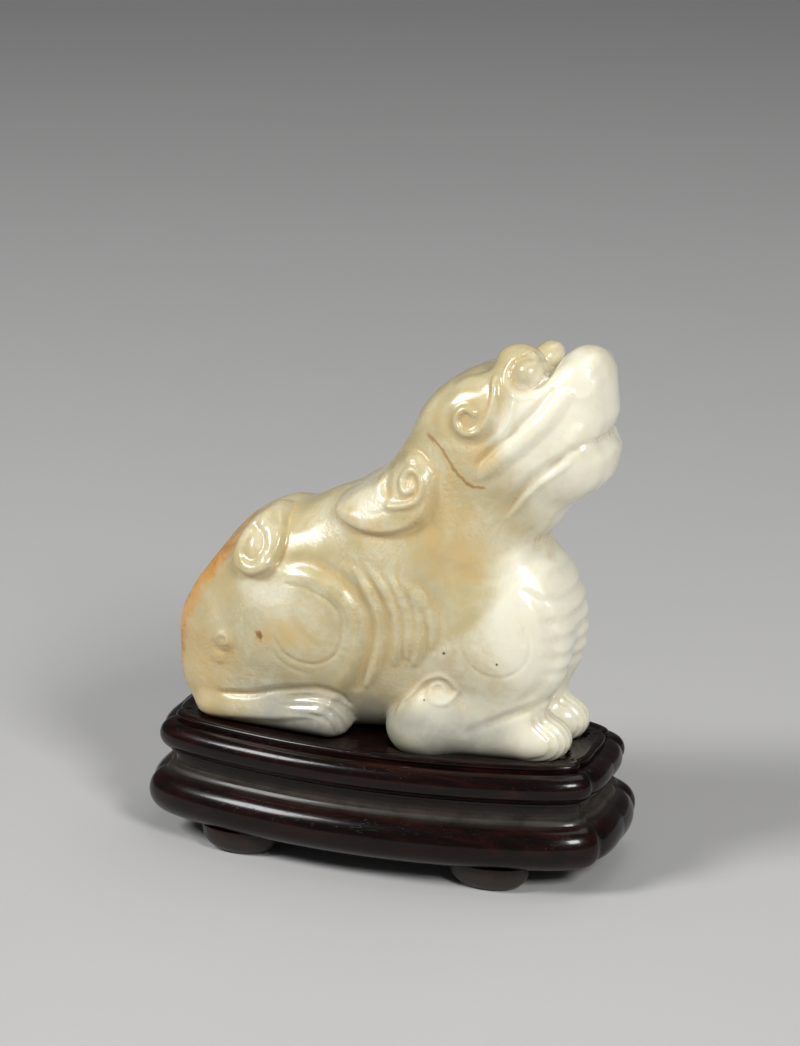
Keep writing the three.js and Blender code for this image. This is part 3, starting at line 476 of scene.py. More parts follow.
class Carving:
    """The beast's surface as a field: how far outside the jade a point is, in its own frame."""

    def __init__(self) -> None:
        """Samples the lines once."""
        self.outline = Track(OUTLINE, closed=True)
        self.reliefs = self._with_tracks(RELIEFS)
        self.tail = self._with_tracks(TAIL)

    @staticmethod
    def _with_tracks(reliefs: Iterable[Relief]) -> list[tuple[Relief, Track]]:
        """Each relief with its line."""
        return [(item, Track(item.points, closed=isinstance(item, Terrace))) for item in reliefs]

    def masses(self, x: np.ndarray, y: np.ndarray, z: np.ndarray) -> np.ndarray:
        """Distance outside the plain masses, before the carved lines."""
        side = np.abs(y)
        parts = []
        for group in (BODY, HEAD):
            whole = np.full(len(x), 1e3)
            for form, fillet in group:
                whole = blend(whole, form.distance(x, y, z), fillet)
            parts.append(whole)
        d = blend(parts[0], parts[1], HEAD_FILLET)
        d = cut(d, self.outline.signed(x, z), OUTLINE_FILLET)
        for form, fillet in LIMBS:
            d = blend(d, form.distance(x, side, z), fillet)
        form, fillet = NEAR_BROW
        return blend(d, form.distance(x, y, z), fillet)

    def relief(self, x: np.ndarray, y: np.ndarray, z: np.ndarray) -> np.ndarray:
        """Height of the carved lines over the masses."""
        side = np.abs(y)
        height = np.zeros(len(x))
        for item, track in self.reliefs:
            index, rise = item.rise(track, x, side, z)
            height[index] += rise
        toes = smoothstep(x, 23.6, 27.0) * smoothstep(z, 8.4, 6.8)
        for place in TOE_GROOVES:
            height -= TOE_GROOVE_DEPTH * toes * np.exp(-((side - place) / TOE_GROOVE_HALF) ** 2)
        tail_side = np.where(y > 0, side - TAIL_FAR_FADE, side)
        for item, track in self.tail:
            index, rise = item.rise(track, x, tail_side, z)
            height[index] += rise
        return height

    def distance(self, p: np.ndarray) -> np.ndarray:
        """Distance outside the carved surface at points in millimetres."""
        x, y, z = p[:, 0], p[:, 1], p[:, 2]
        return np.maximum(self.masses(x, y, z) - self.relief(x, y, z), -z)

    def slope(self, p: np.ndarray, here: np.ndarray, step: float = 0.03) -> np.ndarray:
        """Gradient of the distance at points where it is already known."""
        columns = []
        for axis in range(3):
            shift = np.zeros(3)
            shift[axis] = step
            columns.append((self.distance(p + shift) - here) / step)
        return np.stack(columns, axis=1)

    def settle(self, p: np.ndarray, rounds: int = 2) -> np.ndarray:
        """Moves points onto the surface along its slope.

        Args:
            p: Points near the surface, in millimetres.
            rounds: How many times they are moved.

        Returns:
            The moved points.
        """
        for _ in range(rounds):
            here = self.distance(p)
            gradient = self.slope(p, here)
            size = np.maximum((gradient ** 2).sum(axis=1), 0.2)
            p = p - (np.clip(here, -0.5, 0.5) / size)[:, None] * gradient
        return p


# Nodes of a material

class Wire:
    """A node's output that takes part in sums. Each sum adds its Math node."""

    def __init__(self, graph: "Graph", socket: Any) -> None:
        """Keeps the output and the graph in which it stands."""
        self.graph = graph
        self.socket = socket

    def _math(self, kind: str, a: Any, b: Any = None) -> "Wire":
        """A Math node on one or two values."""
        inputs = {0: a} if b is None else {0: a, 1: b}
        return self.graph.node("ShaderNodeMath", {"operation": kind}, inputs)

    def __add__(self, other: Any) -> "Wire":
        """Sum."""
        return self._math("ADD", self, other)

    def __radd__(self, other: Any) -> "Wire":
        """Sum, reflected."""
        return self._math("ADD", other, self)

    def __sub__(self, other: Any) -> "Wire":
        """Difference."""
        return self._math("SUBTRACT", self, other)

    def __rsub__(self, other: Any) -> "Wire":
        """Difference, reflected."""
        return self._math("SUBTRACT", other, self)

    def __mul__(self, other: Any) -> "Wire":
        """Product."""
        return self._math("MULTIPLY", self, other)

    def __rmul__(self, other: Any) -> "Wire":
        """Product, reflected."""
        return self._math("MULTIPLY", other, self)

    def size(self) -> "Wire":
        """Absolute value."""
        return self._math("ABSOLUTE", self)

    def ramp(self, low: float, high: float) -> "Wire":
        """Smooth rise from 0 at low to 1 at high, or fall where low is the higher."""
        if low < high:
            values = {"Value": self, "From Min": low, "From Max": high, "To Min": 0.0, "To Max": 1.0}
        else:
            values = {"Value": self, "From Min": high, "From Max": low, "To Min": 1.0, "To Max": 0.0}
        settings = {"interpolation_type": "SMOOTHSTEP"}
        return self.graph.node("ShaderNodeMapRange", settings, values, output="Result")


class Graph:
    """The nodes of one material."""

    def __init__(self, name: str) -> None:
        """Makes the material with an output and nothing else."""
        self.material = bpy.data.materials.new(name)
        self.material.use_nodes = True
        self.tree = self.material.node_tree
        self.tree.nodes.clear()
        self.coordinates = self.node("ShaderNodeTexCoord", output="Object")

    def node(self, kind: str, settings: dict[str, Any] | None = None, inputs: dict[Any, Any] | None = None,
             output: Any = 0) -> Wire:
        """Adds a node.

        Args:
            kind: The node's type.
            settings: Its properties, set first.
            inputs: Values or wires for its sockets.
            output: Which output is returned.

        Returns:
            The output as a wire.
        """
        made = self.tree.nodes.new(kind)
        for key, value in (settings or {}).items():
            setattr(made, key, value)
        for key, value in (inputs or {}).items():
            socket = made.inputs[key]
            if isinstance(value, Wire):
                self.tree.links.new(value.socket, socket)
            else:
                socket.default_value = value
        return Wire(self, made.outputs[output])

    def noise(self, scale: float, detail: float = 3.0, roughness: float = 0.55, warp: float = 0.0,
              where: Wire | None = None) -> Wire:
        """Noise over the object's coordinates, between 0 and 1 about 0.5."""
        inputs = {"Vector": where or self.coordinates, "Scale": scale, "Detail": detail,
                  "Roughness": roughness, "Distortion": warp}
        return self.node("ShaderNodeTexNoise", {}, inputs, output="Fac")

    def stretched(self, scale: tuple[float, float, float]) -> Wire:
        """The object's coordinates stretched."""
        inputs = {"Vector": self.coordinates, "Scale": scale}
        return self.node("ShaderNodeMapping", {}, inputs)

    def mark(self, name: str) -> Wire:
        """A number that the piece carries at its vertices."""
        return self.node("ShaderNodeAttribute", {"attribute_name": name}, output="Fac")

    def mix(self, factor: Any, a: Any, b: Any) -> Wire:
        """Mixes two colours."""
        made = self.tree.nodes.new("ShaderNodeMix")
        made.data_type = "RGBA"
        made.clamp_factor = True
        for socket, value in ((made.inputs[0], factor), (made.inputs[6], a), (made.inputs[7], b)):
            if isinstance(value, Wire):
                self.tree.links.new(value.socket, socket)
            else:
                socket.default_value = value
        return Wire(self, made.outputs[2])

    def bump(self, height: Wire, distance: float, strength: float = 1.0, under: Wire | None = None) -> Wire:
        """A bump from a height, over another normal where one is given."""
        inputs: dict[Any, Any] = {"Height": height, "Distance": distance, "Strength": strength}
        if under is not None:
            inputs["Normal"] = under
        return self.node("ShaderNodeBump", {}, inputs)

    def finish(self, shader: Wire) -> Any:
        """Links the shader to the material's output and returns the material."""
        made = self.tree.nodes.new("ShaderNodeOutputMaterial")
        self.tree.links.new(shader.socket, made.inputs["Surface"])
        return self.material


def srgb(red: float, green: float, blue: float) -> Shade:
    """A colour given as 0 to 255, made linear."""
    def linear(value: float) -> float:
        v = value / 255.0
        return v / 12.92 if v <= 0.04045 else ((v + 0.055) / 1.055) ** 2.4
    return (linear(red), linear(green), linear(blue), 1.0)


@dataclass(frozen=True)
class JadeFinish:
    """Polished jade: pale and greasy, ochre in its hollows, with a russet skin on the rump and painted grey
    shade on the lower legs.
    """

    pale: Shade = srgb(232, 228, 208)
    body: Shade = srgb(212, 205, 174)
    olive: Shade = srgb(186, 173, 132)
    ochre: Shade = srgb(200, 170, 110)
    russet: Shade = srgb(210, 156, 80)
    rind: Shade = srgb(172, 114, 56)
    stain: Shade = srgb(122, 78, 34)
    # painted shade: the grey laid on the lower legs to darken them as under a light from above
    shade_grey: Shade = srgb(154, 152, 140)
    fleck: Shade = srgb(34, 26, 18)
    depth: float = 0.0022

    def build(self) -> Any:
        """Returns the jade as a material."""
        g = Graph("polished_jade")
        hollow = g.mark("hollow")
        cloud = g.noise(90.0, 4.0, 0.6, 0.6)
        patch = g.noise(260.0, 4.0, 0.65, 0.4)
        fine = g.noise(1400.0, 3.0, 0.6)
        pale_mask = (g.mark("paleness") + (cloud - 0.5) * 1.2 + (patch - 0.5) * 0.5).ramp(0.05, 1.15)
        depths = (g.noise(150.0, 5.0, 0.62, 0.9) - 0.5) * 1.6 + (cloud - 0.5) * 0.8 + 0.5
        stone = g.mix(depths.ramp(0.25, 0.9) * 0.75, self.olive, self.body)
        colour = g.mix(pale_mask, stone, self.pale)
        vein = (g.noise(120.0, 4.0, 0.55, 1.5) - 0.5).size().ramp(0.035, 0.0)
        colour = g.mix(vein * (0.32 - pale_mask * 0.28), colour, self.ochre)
        speck = g.noise(480.0, 3.0, 0.7).ramp(0.52, 0.72) * g.mark("grain")
        colour = g.mix(speck * 0.4, colour, self.ochre)
        ochre = g.mark("ochre") + (patch - 0.5) * 1.3 + (cloud - 0.5) * 0.6
        colour = g.mix(ochre.ramp(0.2, 1.1) * 0.75, colour, self.ochre)
        crease = (hollow + (patch - 0.5) * 0.8).ramp(0.15, 1.1)
        colour = g.mix(crease * (0.5 - pale_mask * 0.36), colour, self.ochre)
        # Painted shade, partly the stone's own grey: the lower legs are greyed darker towards the floor
        colour = g.mix(g.mark("grey_and_shade") * (patch.ramp(0.2, 0.7) * 0.35 + 0.55), colour, self.shade_grey)
        rust = (g.mark("skin") * 1.5 + (patch - 0.5) * 1.5 + (cloud - 0.5) * 1.4).ramp(0.25, 1.1)
        skin = g.mix((patch + fine * 0.4).ramp(0.6, 0.95), self.russet, self.rind)
        colour = g.mix(rust * 0.85, colour, skin)
        crack = (g.mark("crack") + (patch - 0.5) * 1.3 + (fine - 0.5) * 0.6).size()
        cracked = crack.ramp(0.38, 0.08) * g.mark("crack_fade")
        colour = g.mix(cracked * 0.85, colour, self.stain)
        around = g.mark("crack_fade") * (g.mark("crack").size() + (patch - 0.5)).ramp(0.9, 0.1)
        colour = g.mix(around * 0.4, colour, self.ochre)
        for x, y, z, radius in FLECKS:
            place = ((x + JADE_X) * MM, y * MM, (z + SEAT_Z) * MM)
            away = g.node("ShaderNodeVectorMath", {"operation": "DISTANCE"}, {0: g.coordinates, 1: place},
                          output="Value")
            fleck = (away * (1.0 / (radius * MM)) + (fine - 0.5) * 1.6 + (patch - 0.5) * 1.5).ramp(1.1, 0.4)
            colour = g.mix(fleck * 0.85, colour, self.stain if radius > 0.5 else self.fleck)
        worn = g.mark("grain") * (1.0 - pale_mask * 0.7) * cloud.ramp(0.35, 0.6)
        sugar = (g.noise(1300.0, 3.0, 0.65) - 0.5) * worn
        normal = g.bump(sugar, 0.00034, 0.75)
        swell = (g.noise(330.0, 4.0, 0.6) - 0.5) * (worn * 0.8 + 0.15)
        normal = g.bump(swell, 0.00034, 0.4, under=normal)
        rough = 0.18 + fine * 0.08 + worn * 0.16 + crease * 0.06
        shader = g.node("ShaderNodeBsdfPrincipled", {"subsurface_method": "RANDOM_WALK"}, {
            "Base Color": colour, "Roughness": rough, "Normal": normal, "IOR": 1.61,
            "Subsurface Weight": 0.4, "Subsurface Radius": (1.0, 0.85, 0.5), "Subsurface Scale": self.depth,
            "Coat Weight": 0.14, "Coat Roughness": 0.08,
        })
        return g.finish(shader)


@dataclass(frozen=True)
class HardwoodFinish:
    """Old polished hardwood, nearly black, with fine pores, dust in its waist, and dust with a painted grey
    highlight on its ledge and feet.
    """

    dark: Shade = srgb(11, 4, 3)
    red: Shade = srgb(38, 12, 8)
    pore: Shade = srgb(8, 4, 3)
    # dust colour, also used as a painted grey highlight
    dust_and_sheen: Shade = srgb(84, 79, 72)

    def build(self) -> Any:
        """Returns the hardwood as a material."""
        g = Graph("polished_hardwood")
        streak = g.noise(70.0, 5.0, 0.6, 0.3, where=g.stretched((1.0, 10.0, 10.0)))
        pores = g.noise(900.0, 2.0, 0.5, 0.0, where=g.stretched((1.0, 8.0, 8.0)))
        colour = g.mix(streak.ramp(0.4, 0.8), self.dark, self.red)
        pore = pores.ramp(0.62, 0.75)
        colour = g.mix(pore * 0.6, colour, self.pore)
        # Dust, with a painted grey highlight along the ledge and on the feet
        dust_and_sheen_mask = g.mark("dust_and_sheen") * g.noise(260.0, 4.0, 0.65).ramp(0.0, 0.7)
        colour = g.mix(dust_and_sheen_mask * 0.5, colour, self.dust_and_sheen)
        normal = g.bump(1.0 - pore, 0.00003, 0.4)
        normal = g.bump(g.noise(320.0, 4.0, 0.6), 0.0001, 0.15, under=normal)
        rough = 0.16 + streak * 0.08 + dust_and_sheen_mask * 0.3 + pore * 0.12
        shader = g.node("ShaderNodeBsdfPrincipled", {}, {
            "Base Color": colour, "Roughness": rough, "Normal": normal, "IOR": 1.5,
            "Specular IOR Level": 0.2, "Coat Weight": 0.14, "Coat Roughness": 0.08,
        })
        return g.finish(shader)


@dataclass(frozen=True)
class PaperFinish:
    """Matt pale paper for the floor."""

    shade: Shade = (0.47, 0.465, 0.46, 1.0)

    def build(self) -> Any:
        """Returns the paper as a material."""
        g = Graph("pale_paper")
        mottle = g.noise(14.0, 2.0)
        colour = g.mix(mottle, self.shade, tuple(c * 0.96 for c in self.shade[:3]) + (1.0,))
        shader = g.node("ShaderNodeBsdfPrincipled", {}, {"Base Color": colour, "Roughness": 0.8})
        return g.finish(shader)


# Modelling by hand

def clear_selection() -> None:
    """Leaves edit mode and deselects everything."""
    if bpy.context.object and bpy.context.object.mode != "OBJECT":
        bpy.ops.object.mode_set(mode="OBJECT")
    bpy.ops.object.select_all(action="DESELECT")


def make_active(piece: Any) -> None:
    """Selects one object alone and makes it the active one."""
    clear_selection()
    piece.select_set(True)
    bpy.context.view_layer.objects.active = piece


def apply_modifier(piece: Any, kind: str, **settings: Any) -> None:
    """Adds a modifier, sets it and applies it."""
    make_active(piece)
    modifier = piece.modifiers.new(kind.title(), kind)
    for key, value in settings.items():
        setattr(modifier, key, value)
    bpy.ops.object.modifier_apply(modifier=modifier.name)


def read_points(piece: Any) -> np.ndarray:
    """The mesh's vertices in metres, one row each."""
    flat = np.empty(len(piece.data.vertices) * 3)
    piece.data.vertices.foreach_get("co", flat)
    return flat.reshape(-1, 3)


def write_points(piece: Any, points: np.ndarray) -> None:
    """Moves the mesh's vertices."""
    piece.data.vertices.foreach_set("co", points.ravel())
    piece.data.update()


def write_mark(piece: Any, name: str, values: np.ndarray) -> None:
    """Stores a number at each vertex."""
    layer = piece.data.attributes.new(name, "FLOAT", "POINT")
    layer.data.foreach_set("value", values.astype(np.float32))


@dataclass
class Beast:
    """The jade carving: the solid's copy in fine cells, moved onto the carved surface."""

    voxel: float = 0.38 * MM
    carving: Carving = field(default_factory=Carving)

    def build(self) -> Any:
        """Models and dresses the carving.

        Returns:
            The finished object.
        """
        piece = self._copy_solid()
        apply_modifier(piece, "REMESH", mode="VOXEL", voxel_size=self.voxel, adaptivity=0.0)
        apply_modifier(piece, "SMOOTH", factor=0.5, iterations=4)
        self._carve(piece)
        self._mark(piece)
        for polygon in piece.data.polygons:
            polygon.use_smooth = True
        piece.data.materials.clear()
        piece.data.materials.append(JadeFinish().build())
        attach(piece, "root")
        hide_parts("jade_beast")
        return piece

    @staticmethod
    def _copy_solid() -> Any:
        """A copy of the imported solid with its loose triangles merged."""
        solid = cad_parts["jade_beast"]
        piece = bpy.data.objects.new("jade_carving", solid.data.copy())
        bpy.context.scene.collection.objects.link(piece)
        make_active(piece)
        bpy.ops.object.mode_set(mode="EDIT")
        bpy.ops.mesh.select_all(action="SELECT")
        bpy.ops.mesh.remove_doubles(threshold=0.00002)
        bpy.ops.object.mode_set(mode="OBJECT")
        return piece

    @staticmethod
    def own(points: np.ndarray) -> np.ndarray:
        """Points in metres of the frame, as millimetres of the carving."""
        return points / MM - np.array([JADE_X, 0.0, SEAT_Z])

    @staticmethod
    def framed(points: np.ndarray) -> np.ndarray:
        """Points in millimetres of the carving, as metres of the frame."""
        return (points + np.array([JADE_X, 0.0, SEAT_Z])) * MM

    def _carve(self, piece: Any) -> None:
        """Moves every vertex onto the carved surface, evening the cells between moves."""
        own = self.carving.settle(self.own(read_points(piece)), 2)
        write_points(piece, self.framed(own))
        apply_modifier(piece, "SMOOTH", factor=0.35, iterations=2)
        own = self.carving.settle(self.own(read_points(piece)), 1)
        write_points(piece, self.framed(own))

    def _mark(self, piece: Any) -> None:
        """Stores what the finish reads: hollows, paleness, painted shade on the lower legs, the rump's skin
        and the crack.
        """
        own = self.own(read_points(piece))
        x, y, z = own[:, 0], own[:, 1], own[:, 2]
        write_mark(piece, "hollow", self._hollows(piece, own))
        write_mark(piece, "paleness", self._pale(x, z))
        write_mark(piece, "ochre", self._blobs(x, z, OCHRE_PLACES))
        write_mark(piece, "grain", self._blobs(x, z, GRAIN_PLACES))
        # Painted shade on the lower legs: strongest near the floor, gone by 11 mm up and towards both ends of
        # the beast
        write_mark(piece, "grey_and_shade",
                   smoothstep(z, 11.0, 5.0) * smoothstep(x, -24, -15) * smoothstep(x, 25, 19))
        distance = Track(REAR_EDGE).measure(x, z)[0]
        tail = np.exp(-((x - TAIL_CENTRE[0]) ** 2 + (z - TAIL_CENTRE[1]) ** 2) / 16)
        ends = smoothstep(x, -16, -23) * (1 - 0.8 * smoothstep(y, -7, 6))
        write_mark(piece, "skin", smoothstep(distance, SKIN_WIDTH, 0) * (1 - tail) * ends)
        crack = Track(CRACK)
        distance, side, along = crack.measure(x, z)
        write_mark(piece, "crack", np.clip(distance, 0, 2) * side)
        ends = smoothstep(along, 0, 1) * smoothstep(crack.length - along, 0, 1)
        write_mark(piece, "crack_fade", smoothstep(distance, 1.0, 0.6) * ends * (y < 0))

    @staticmethod
    def _blobs(x: np.ndarray, z: np.ndarray, places: Sequence[Spot]) -> np.ndarray:
        """Sum of soft round spots given as x, z, radius and weight, at most 1."""
        total = np.zeros(len(x))
        for px, pz, radius, weight in places:
            total += weight * np.exp(-((x - px) ** 2 + (z - pz) ** 2) / radius ** 2)
        return np.clip(total, 0, 1)

    def _pale(self, x: np.ndarray, z: np.ndarray) -> np.ndarray:
        """Where the stone is white: before a slanting vein across the shoulder, and in the spots."""
        vein = (x - VEIN_POINT[0]) * VEIN_ACROSS[0] + (z - VEIN_POINT[1]) * VEIN_ACROSS[1]
        before = smoothstep(vein, -1.0, 1.6) * smoothstep(x, 4, 12)
        return np.clip(before * 0.5 + self._blobs(x, z, PALE_PLACES), 0, 1)

    def _hollows(self, piece: Any, own: np.ndarray) -> np.ndarray:
        """How deep in a carved hollow each vertex lies, from 0 to 1."""
        count = len(own)
        edges = np.empty(len(piece.data.edges) * 2, dtype=np.int64)
        piece.data.edges.foreach_get("vertices", edges)
        a, b = edges.reshape(-1, 2).T
        valence = np.maximum(np.bincount(a, minlength=count) + np.bincount(b, minlength=count), 1)
        smooth = own.copy()
        for _ in range(HOLLOW_ROUNDS):
            total = np.stack([np.bincount(a, smooth[b, k], count) + np.bincount(b, smooth[a, k], count)
                              for k in range(3)], axis=1)
            smooth = total / valence[:, None]
        normals = np.empty(count * 3)
        piece.data.vertices.foreach_get("normal", normals)
        sink = ((smooth - own) * normals.reshape(-1, 3)).sum(axis=1)
        return np.clip(sink / HOLLOW_FULL, 0, 1)


@dataclass
class Stand:
    """The hardwood stand: mouldings swept round a lobed plan, a fitted seat in the top, and four feet.

    A moulding's nose is given as its offset from the rim's line, its height, and its half width and height.
    """

    rim_length: float = 66.8
    rim_width: float = 28.6
    cusp: Plan = (32.4, 6.2)
    corner: Plan = (27.5, 10.6)
    foot_height: float = 3.6
    foot_width: float = 13.0
    foot_depth: float = 7.0
    foot_floor: float = 3.4
    foot_place: Plan = (20.5, 12.4)
    rim_z: float = 20.0
    top_z: float = 19.8
    lower_nose: tuple[float, float, float, float] = (1.6, 7.25, 3.4, 3.6)
    upper_nose: tuple[float, float, float, float] = (0.8, 16.5, 2.3, 2.35)
    curve_steps: int = 60
    plan_steps: int = 480
    seat_rings: int = 54
    seat_gap: float = 0.35
    carving: Carving = field(default_factory=Carving)

    def build(self) -> Any:
        """Models and dresses the stand.

        Returns:
            The finished object.
        """
        piece = self._sweep()
        for sx in (-1, 1):
            for sy in (-1, 1):
                self._join(piece, self._foot(sx, sy))
        for polygon in piece.data.polygons:
            polygon.use_smooth = True
        make_active(piece)
        bpy.ops.object.shade_smooth_by_angle(angle=math.radians(40))
        self._mark(piece)
        piece.data.materials.clear()
        piece.data.materials.append(HardwoodFinish().build())
        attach(piece, "root")
        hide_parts("hardwood_stand")
        return piece

    def _quarter(self) -> np.ndarray:
        """The plan of the rim from the middle of the end to the middle of the long side."""
        end = (self.rim_length / 2, 0.0)
        side = (0.0, self.rim_width / 2)
        curves = [
            (end, (end[0] + 0.4, self.cusp[1] * 0.85), self.cusp),
            (self.cusp, (self.cusp[0] + 2.2, self.corner[1] - 2.0), self.corner),
            (self.corner, (self.corner[0] / 2, side[1]), side),
        ]
        points = []
        for a, b, c in curves:
            for i in range(self.curve_steps):
                t = i / self.curve_steps
                points.append([a[k] * (1 - t) ** 2 + 2 * b[k] * t * (1 - t) + c[k] * t * t for k in range(2)])
        return np.array(points + [list(side)])

    def _plan(self) -> tuple[np.ndarray, np.ndarray]:
        """Evenly spaced points of the whole plan, and the direction in which the mouldings stand out."""
        quarter = self._quarter()
        ring = np.concatenate([
            quarter[:-1], (quarter * [-1, 1])[::-1][:-1], (quarter * [-1, -1])[:-1],
            (quarter * [1, -1])[::-1][:-1],
        ])
        closed = np.vstack([ring, ring[:1]])
        runs = np.concatenate([[0], np.cumsum(np.linalg.norm(np.diff(closed, axis=0), axis=1))])
        at = np.linspace(0, runs[-1], self.plan_steps, endpoint=False)
        points = np.stack([np.interp(at, runs, closed[:, k]) for k in range(2)], axis=1)
        out = np.sign(points) * points ** 2 / np.array([self.rim_length, self.rim_width]) ** 3
        return points, out / np.linalg.norm(out, axis=1, keepdims=True)

    @staticmethod
    def _nose(offset: float, height: float, wide: float, tall: float, count: int) -> list[Plan]:
        """Points round the nose of a moulding, from below to above."""
        points = []
        for i in range(count + 1):
            angle = math.radians(-82 + 164 * i / count)
            points.append((offset + wide * math.cos(angle), height + tall * math.sin(angle)))
        return points

    def _profile(self) -> list[Plan]:
        """Offset from the rim's line and height, from the underside to the seat."""
        lower = self._nose(*self.lower_nose, 22)
        upper = self._nose(*self.upper_nose, 18)
        waist = [(1.75, 11.4), (1.6, 11.5), (0.65, 11.52), (0.5, 11.65), (0.45, 12.5), (0.5, 13.45),
                 (0.65, 13.58), (1.2, 13.6), (1.3, 13.7), (1.3, 14.05)]
        rim = [(0.15, 18.92), (0.1, 19.05), (0.32, 19.25), (0.38, 19.5), (0.25, 19.8), (-0.1, 19.98),
               (-0.5, self.rim_z), (-0.85, 19.98), (-1.1, 19.86), (-1.25, self.top_z)]
        return [(-2.0, self.foot_height), (1.3, self.foot_height)] + lower + waist + upper + rim

    def _sweep(self) -> Any:
        """The stand's body: a ring extruded up the profile and inwards over the seat."""
        points, out = self._plan()
        clear_selection()
        bpy.ops.mesh.primitive_circle_add(vertices=self.plan_steps, radius=self.rim_length / 2 * MM)
        piece = bpy.context.object
        piece.name = "hardwood_base"
        rings = [np.column_stack([points + out * offset, np.full(len(points), height)])
                 for offset, height in self._profile()]
        rings += self._seat(points + out * self._profile()[-1][0])
        write_points(piece, rings[0] * MM)
        bpy.ops.object.mode_set(mode="EDIT")
        bpy.ops.mesh.select_all(action="SELECT")
        for ring in rings[1:]:
            bpy.ops.mesh.extrude_edges_move()
            mesh = bmesh.from_edit_mesh(piece.data)
            chosen = [vertex for vertex in mesh.verts if vertex.select]
            for vertex, place in zip(chosen, ring * MM):
                vertex.co = place
            bmesh.update_edit_mesh(piece.data)
        bpy.ops.mesh.merge(type="CENTER")
        bpy.ops.mesh.select_all(action="DESELECT")
        bpy.ops.mesh.select_non_manifold()
        bpy.ops.mesh.edge_face_add()
        bpy.ops.mesh.select_all(action="SELECT")
        bpy.ops.mesh.normals_make_consistent(inside=False)
        bpy.ops.object.mode_set(mode="OBJECT")
        return piece

    def _seat(self, edge: np.ndarray) -> list[np.ndarray]:
        """Rings from the bead inwards, sunk where the beast's feet and belly lie."""
        rings = []
        for i in range(1, self.seat_rings + 1):
            plan = edge * (1.0 - i / self.seat_rings)
            own = np.column_stack([plan[:, 0] - JADE_X, plan[:, 1], np.full(len(plan), 0.7)])
            outside = self.carving.distance(own)
            height = SEAT_Z + (self.top_z - SEAT_Z) * smoothstep(outside, self.seat_gap, self.seat_gap + 0.4)
            rings.append(np.column_stack([plan, height]))
        return rings

    def _foot(self, sx: int, sy: int) -> Any:
        """A foot: a shallow bowl, flattened front to back."""
        clear_selection()
        wide = self.foot_width / 2
        top = self.foot_height + 0.4
        levels = [(self.foot_floor, 0.0), (self.foot_floor + 0.5, 0.1), (wide * 0.73, 0.5),
                  (wide * 0.84, 1.0), (wide * 0.92, 1.6), (wide * 0.97, 2.3), (wide, top)]
        bpy.ops.mesh.primitive_circle_add(vertices=64, radius=levels[0][0] * MM, fill_type="NGON")
        foot = bpy.context.object
        bpy.ops.object.mode_set(mode="EDIT")
        bpy.ops.mesh.select_all(action="SELECT")
        for (near, low), (far, high) in zip(levels, levels[1:]):
            bpy.ops.mesh.extrude_region_move(TRANSFORM_OT_translate={"value": (0, 0, (high - low) * MM)})
            bpy.ops.transform.resize(value=(far / near, far / near, 1))
        bpy.ops.mesh.select_all(action="SELECT")
        bpy.ops.mesh.normals_make_consistent(inside=False)
        bpy.ops.object.mode_set(mode="OBJECT")
        points = read_points(foot) * [1, self.foot_depth / self.foot_width, 1]
        write_points(foot, points + np.array([sx * self.foot_place[0], sy * self.foot_place[1], 0]) * MM)
        return foot

    @staticmethod
    def _join(piece: Any, other: Any) -> None:
        """Joins another object into this one."""
        make_active(piece)
        other.select_set(True)
        bpy.ops.object.join()

    def _mark(self, piece: Any) -> None:
        """Stores dust and painted highlight: dust in the waist, and dust with a painted grey highlight on the
        ledge below the waist and on the feet.
        """
        points = read_points(piece) / MM
        z = points[:, 2]
        # The ledge band is dust and a painted highlight line; the feet are dust and a painted soft highlight
        ledge = smoothstep(z, 10.3, 11.3) * smoothstep(z, 12.2, 11.6)
        waist = smoothstep(z, 11.4, 11.6) * smoothstep(z, 14.4, 13.8)
        foot = smoothstep(z, 4.2, 3.2)
        write_mark(piece, "dust_and_sheen", np.clip(ledge + waist * 0.15 + foot * 0.6, 0, 1))


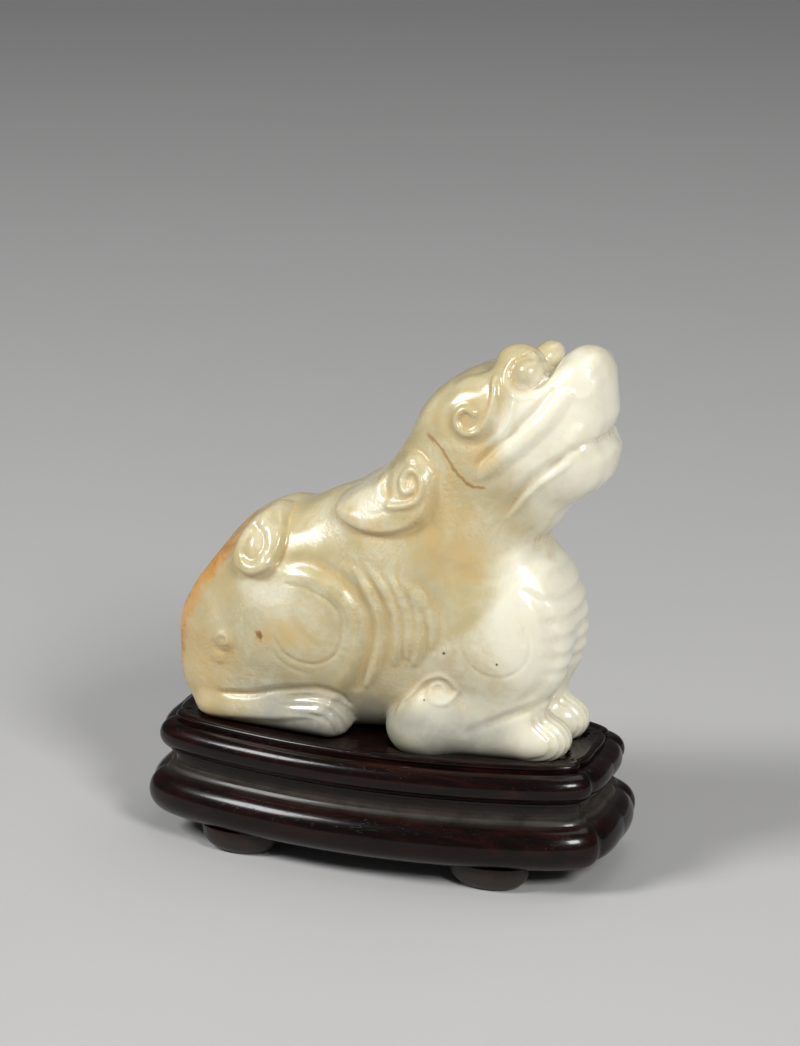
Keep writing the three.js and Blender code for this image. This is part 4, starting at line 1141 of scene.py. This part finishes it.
@dataclass
class Studio:
    """Floor, soft lights and the camera."""

    azimuth: float = 20.0
    elevation: float = 18.0
    distance: float = 0.536
    target: tuple[float, float, float] = (0.0015, 0.0, 0.0525)
    lens: float = 120.0
    air: Shade = (0.95, 0.97, 1.0, 1.0)
    air_strength: float = 0.12

    def build(self) -> None:
        """Sets up the floor, the lights, the air and the camera."""
        self._floor()
        self._lamp("key", (-0.5, -0.44, 0.62), 0.26, 5.8)
        self._lamp("side", (0.52, -0.44, 0.5), 0.2, 4.8)
        self._lamp("top", (0.15, 0.2, 0.75), 0.5, 1.2)
        world = bpy.data.worlds.new("soft_air")
        world.use_nodes = True
        world.node_tree.nodes["Background"].inputs["Color"].default_value = self.air
        world.node_tree.nodes["Background"].inputs["Strength"].default_value = self.air_strength
        bpy.context.scene.world = world
        bpy.context.scene.view_settings.view_transform = "Standard"
        self._camera()

    @staticmethod
    def _floor() -> None:
        """A pale floor under the stand."""
        clear_selection()
        bpy.ops.mesh.primitive_plane_add(size=6.0)
        floor = bpy.context.object
        floor.name = "floor"
        floor.data.materials.append(PaperFinish().build())

    def _lamp(self, name: str, place: tuple[float, float, float], size: float, power: float) -> None:
        """A square soft light turned to the object."""
        light = bpy.data.lights.new(name, "AREA")
        light.shape = "SQUARE"
        light.size = size
        light.energy = power
        lamp = bpy.data.objects.new(name, light)
        bpy.context.scene.collection.objects.link(lamp)
        lamp.location = place
        lamp.rotation_euler = (Vector(self.target) - Vector(place)).to_track_quat("-Z", "Y").to_euler()

    def _camera(self) -> None:
        """The camera at the photograph's viewing angle."""
        data = bpy.data.cameras.new("view")
        data.lens = self.lens
        data.sensor_width = 36.0
        data.clip_start = 0.01
        camera = bpy.data.objects.new("view", data)
        bpy.context.scene.collection.objects.link(camera)
        a = math.radians(self.azimuth)
        e = math.radians(self.elevation)
        back = Vector((math.sin(a) * math.cos(e), -math.cos(a) * math.cos(e), math.sin(e)))
        camera.location = Vector(self.target) + back * self.distance
        camera.rotation_euler = (-back).to_track_quat("-Z", "Y").to_euler()
        bpy.context.scene.camera = camera


def main() -> None:
    """Builds the pieces in order and reports each one."""
    logging.basicConfig(level=logging.INFO, format="%(name)s: %(message)s")
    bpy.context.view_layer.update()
    Studio().build()
    for maker in (Beast(), Stand()):
        piece = maker.build()
        log.info("%s has %d faces", piece.name, len(piece.data.polygons))


if __name__ == "__main__":
    main()
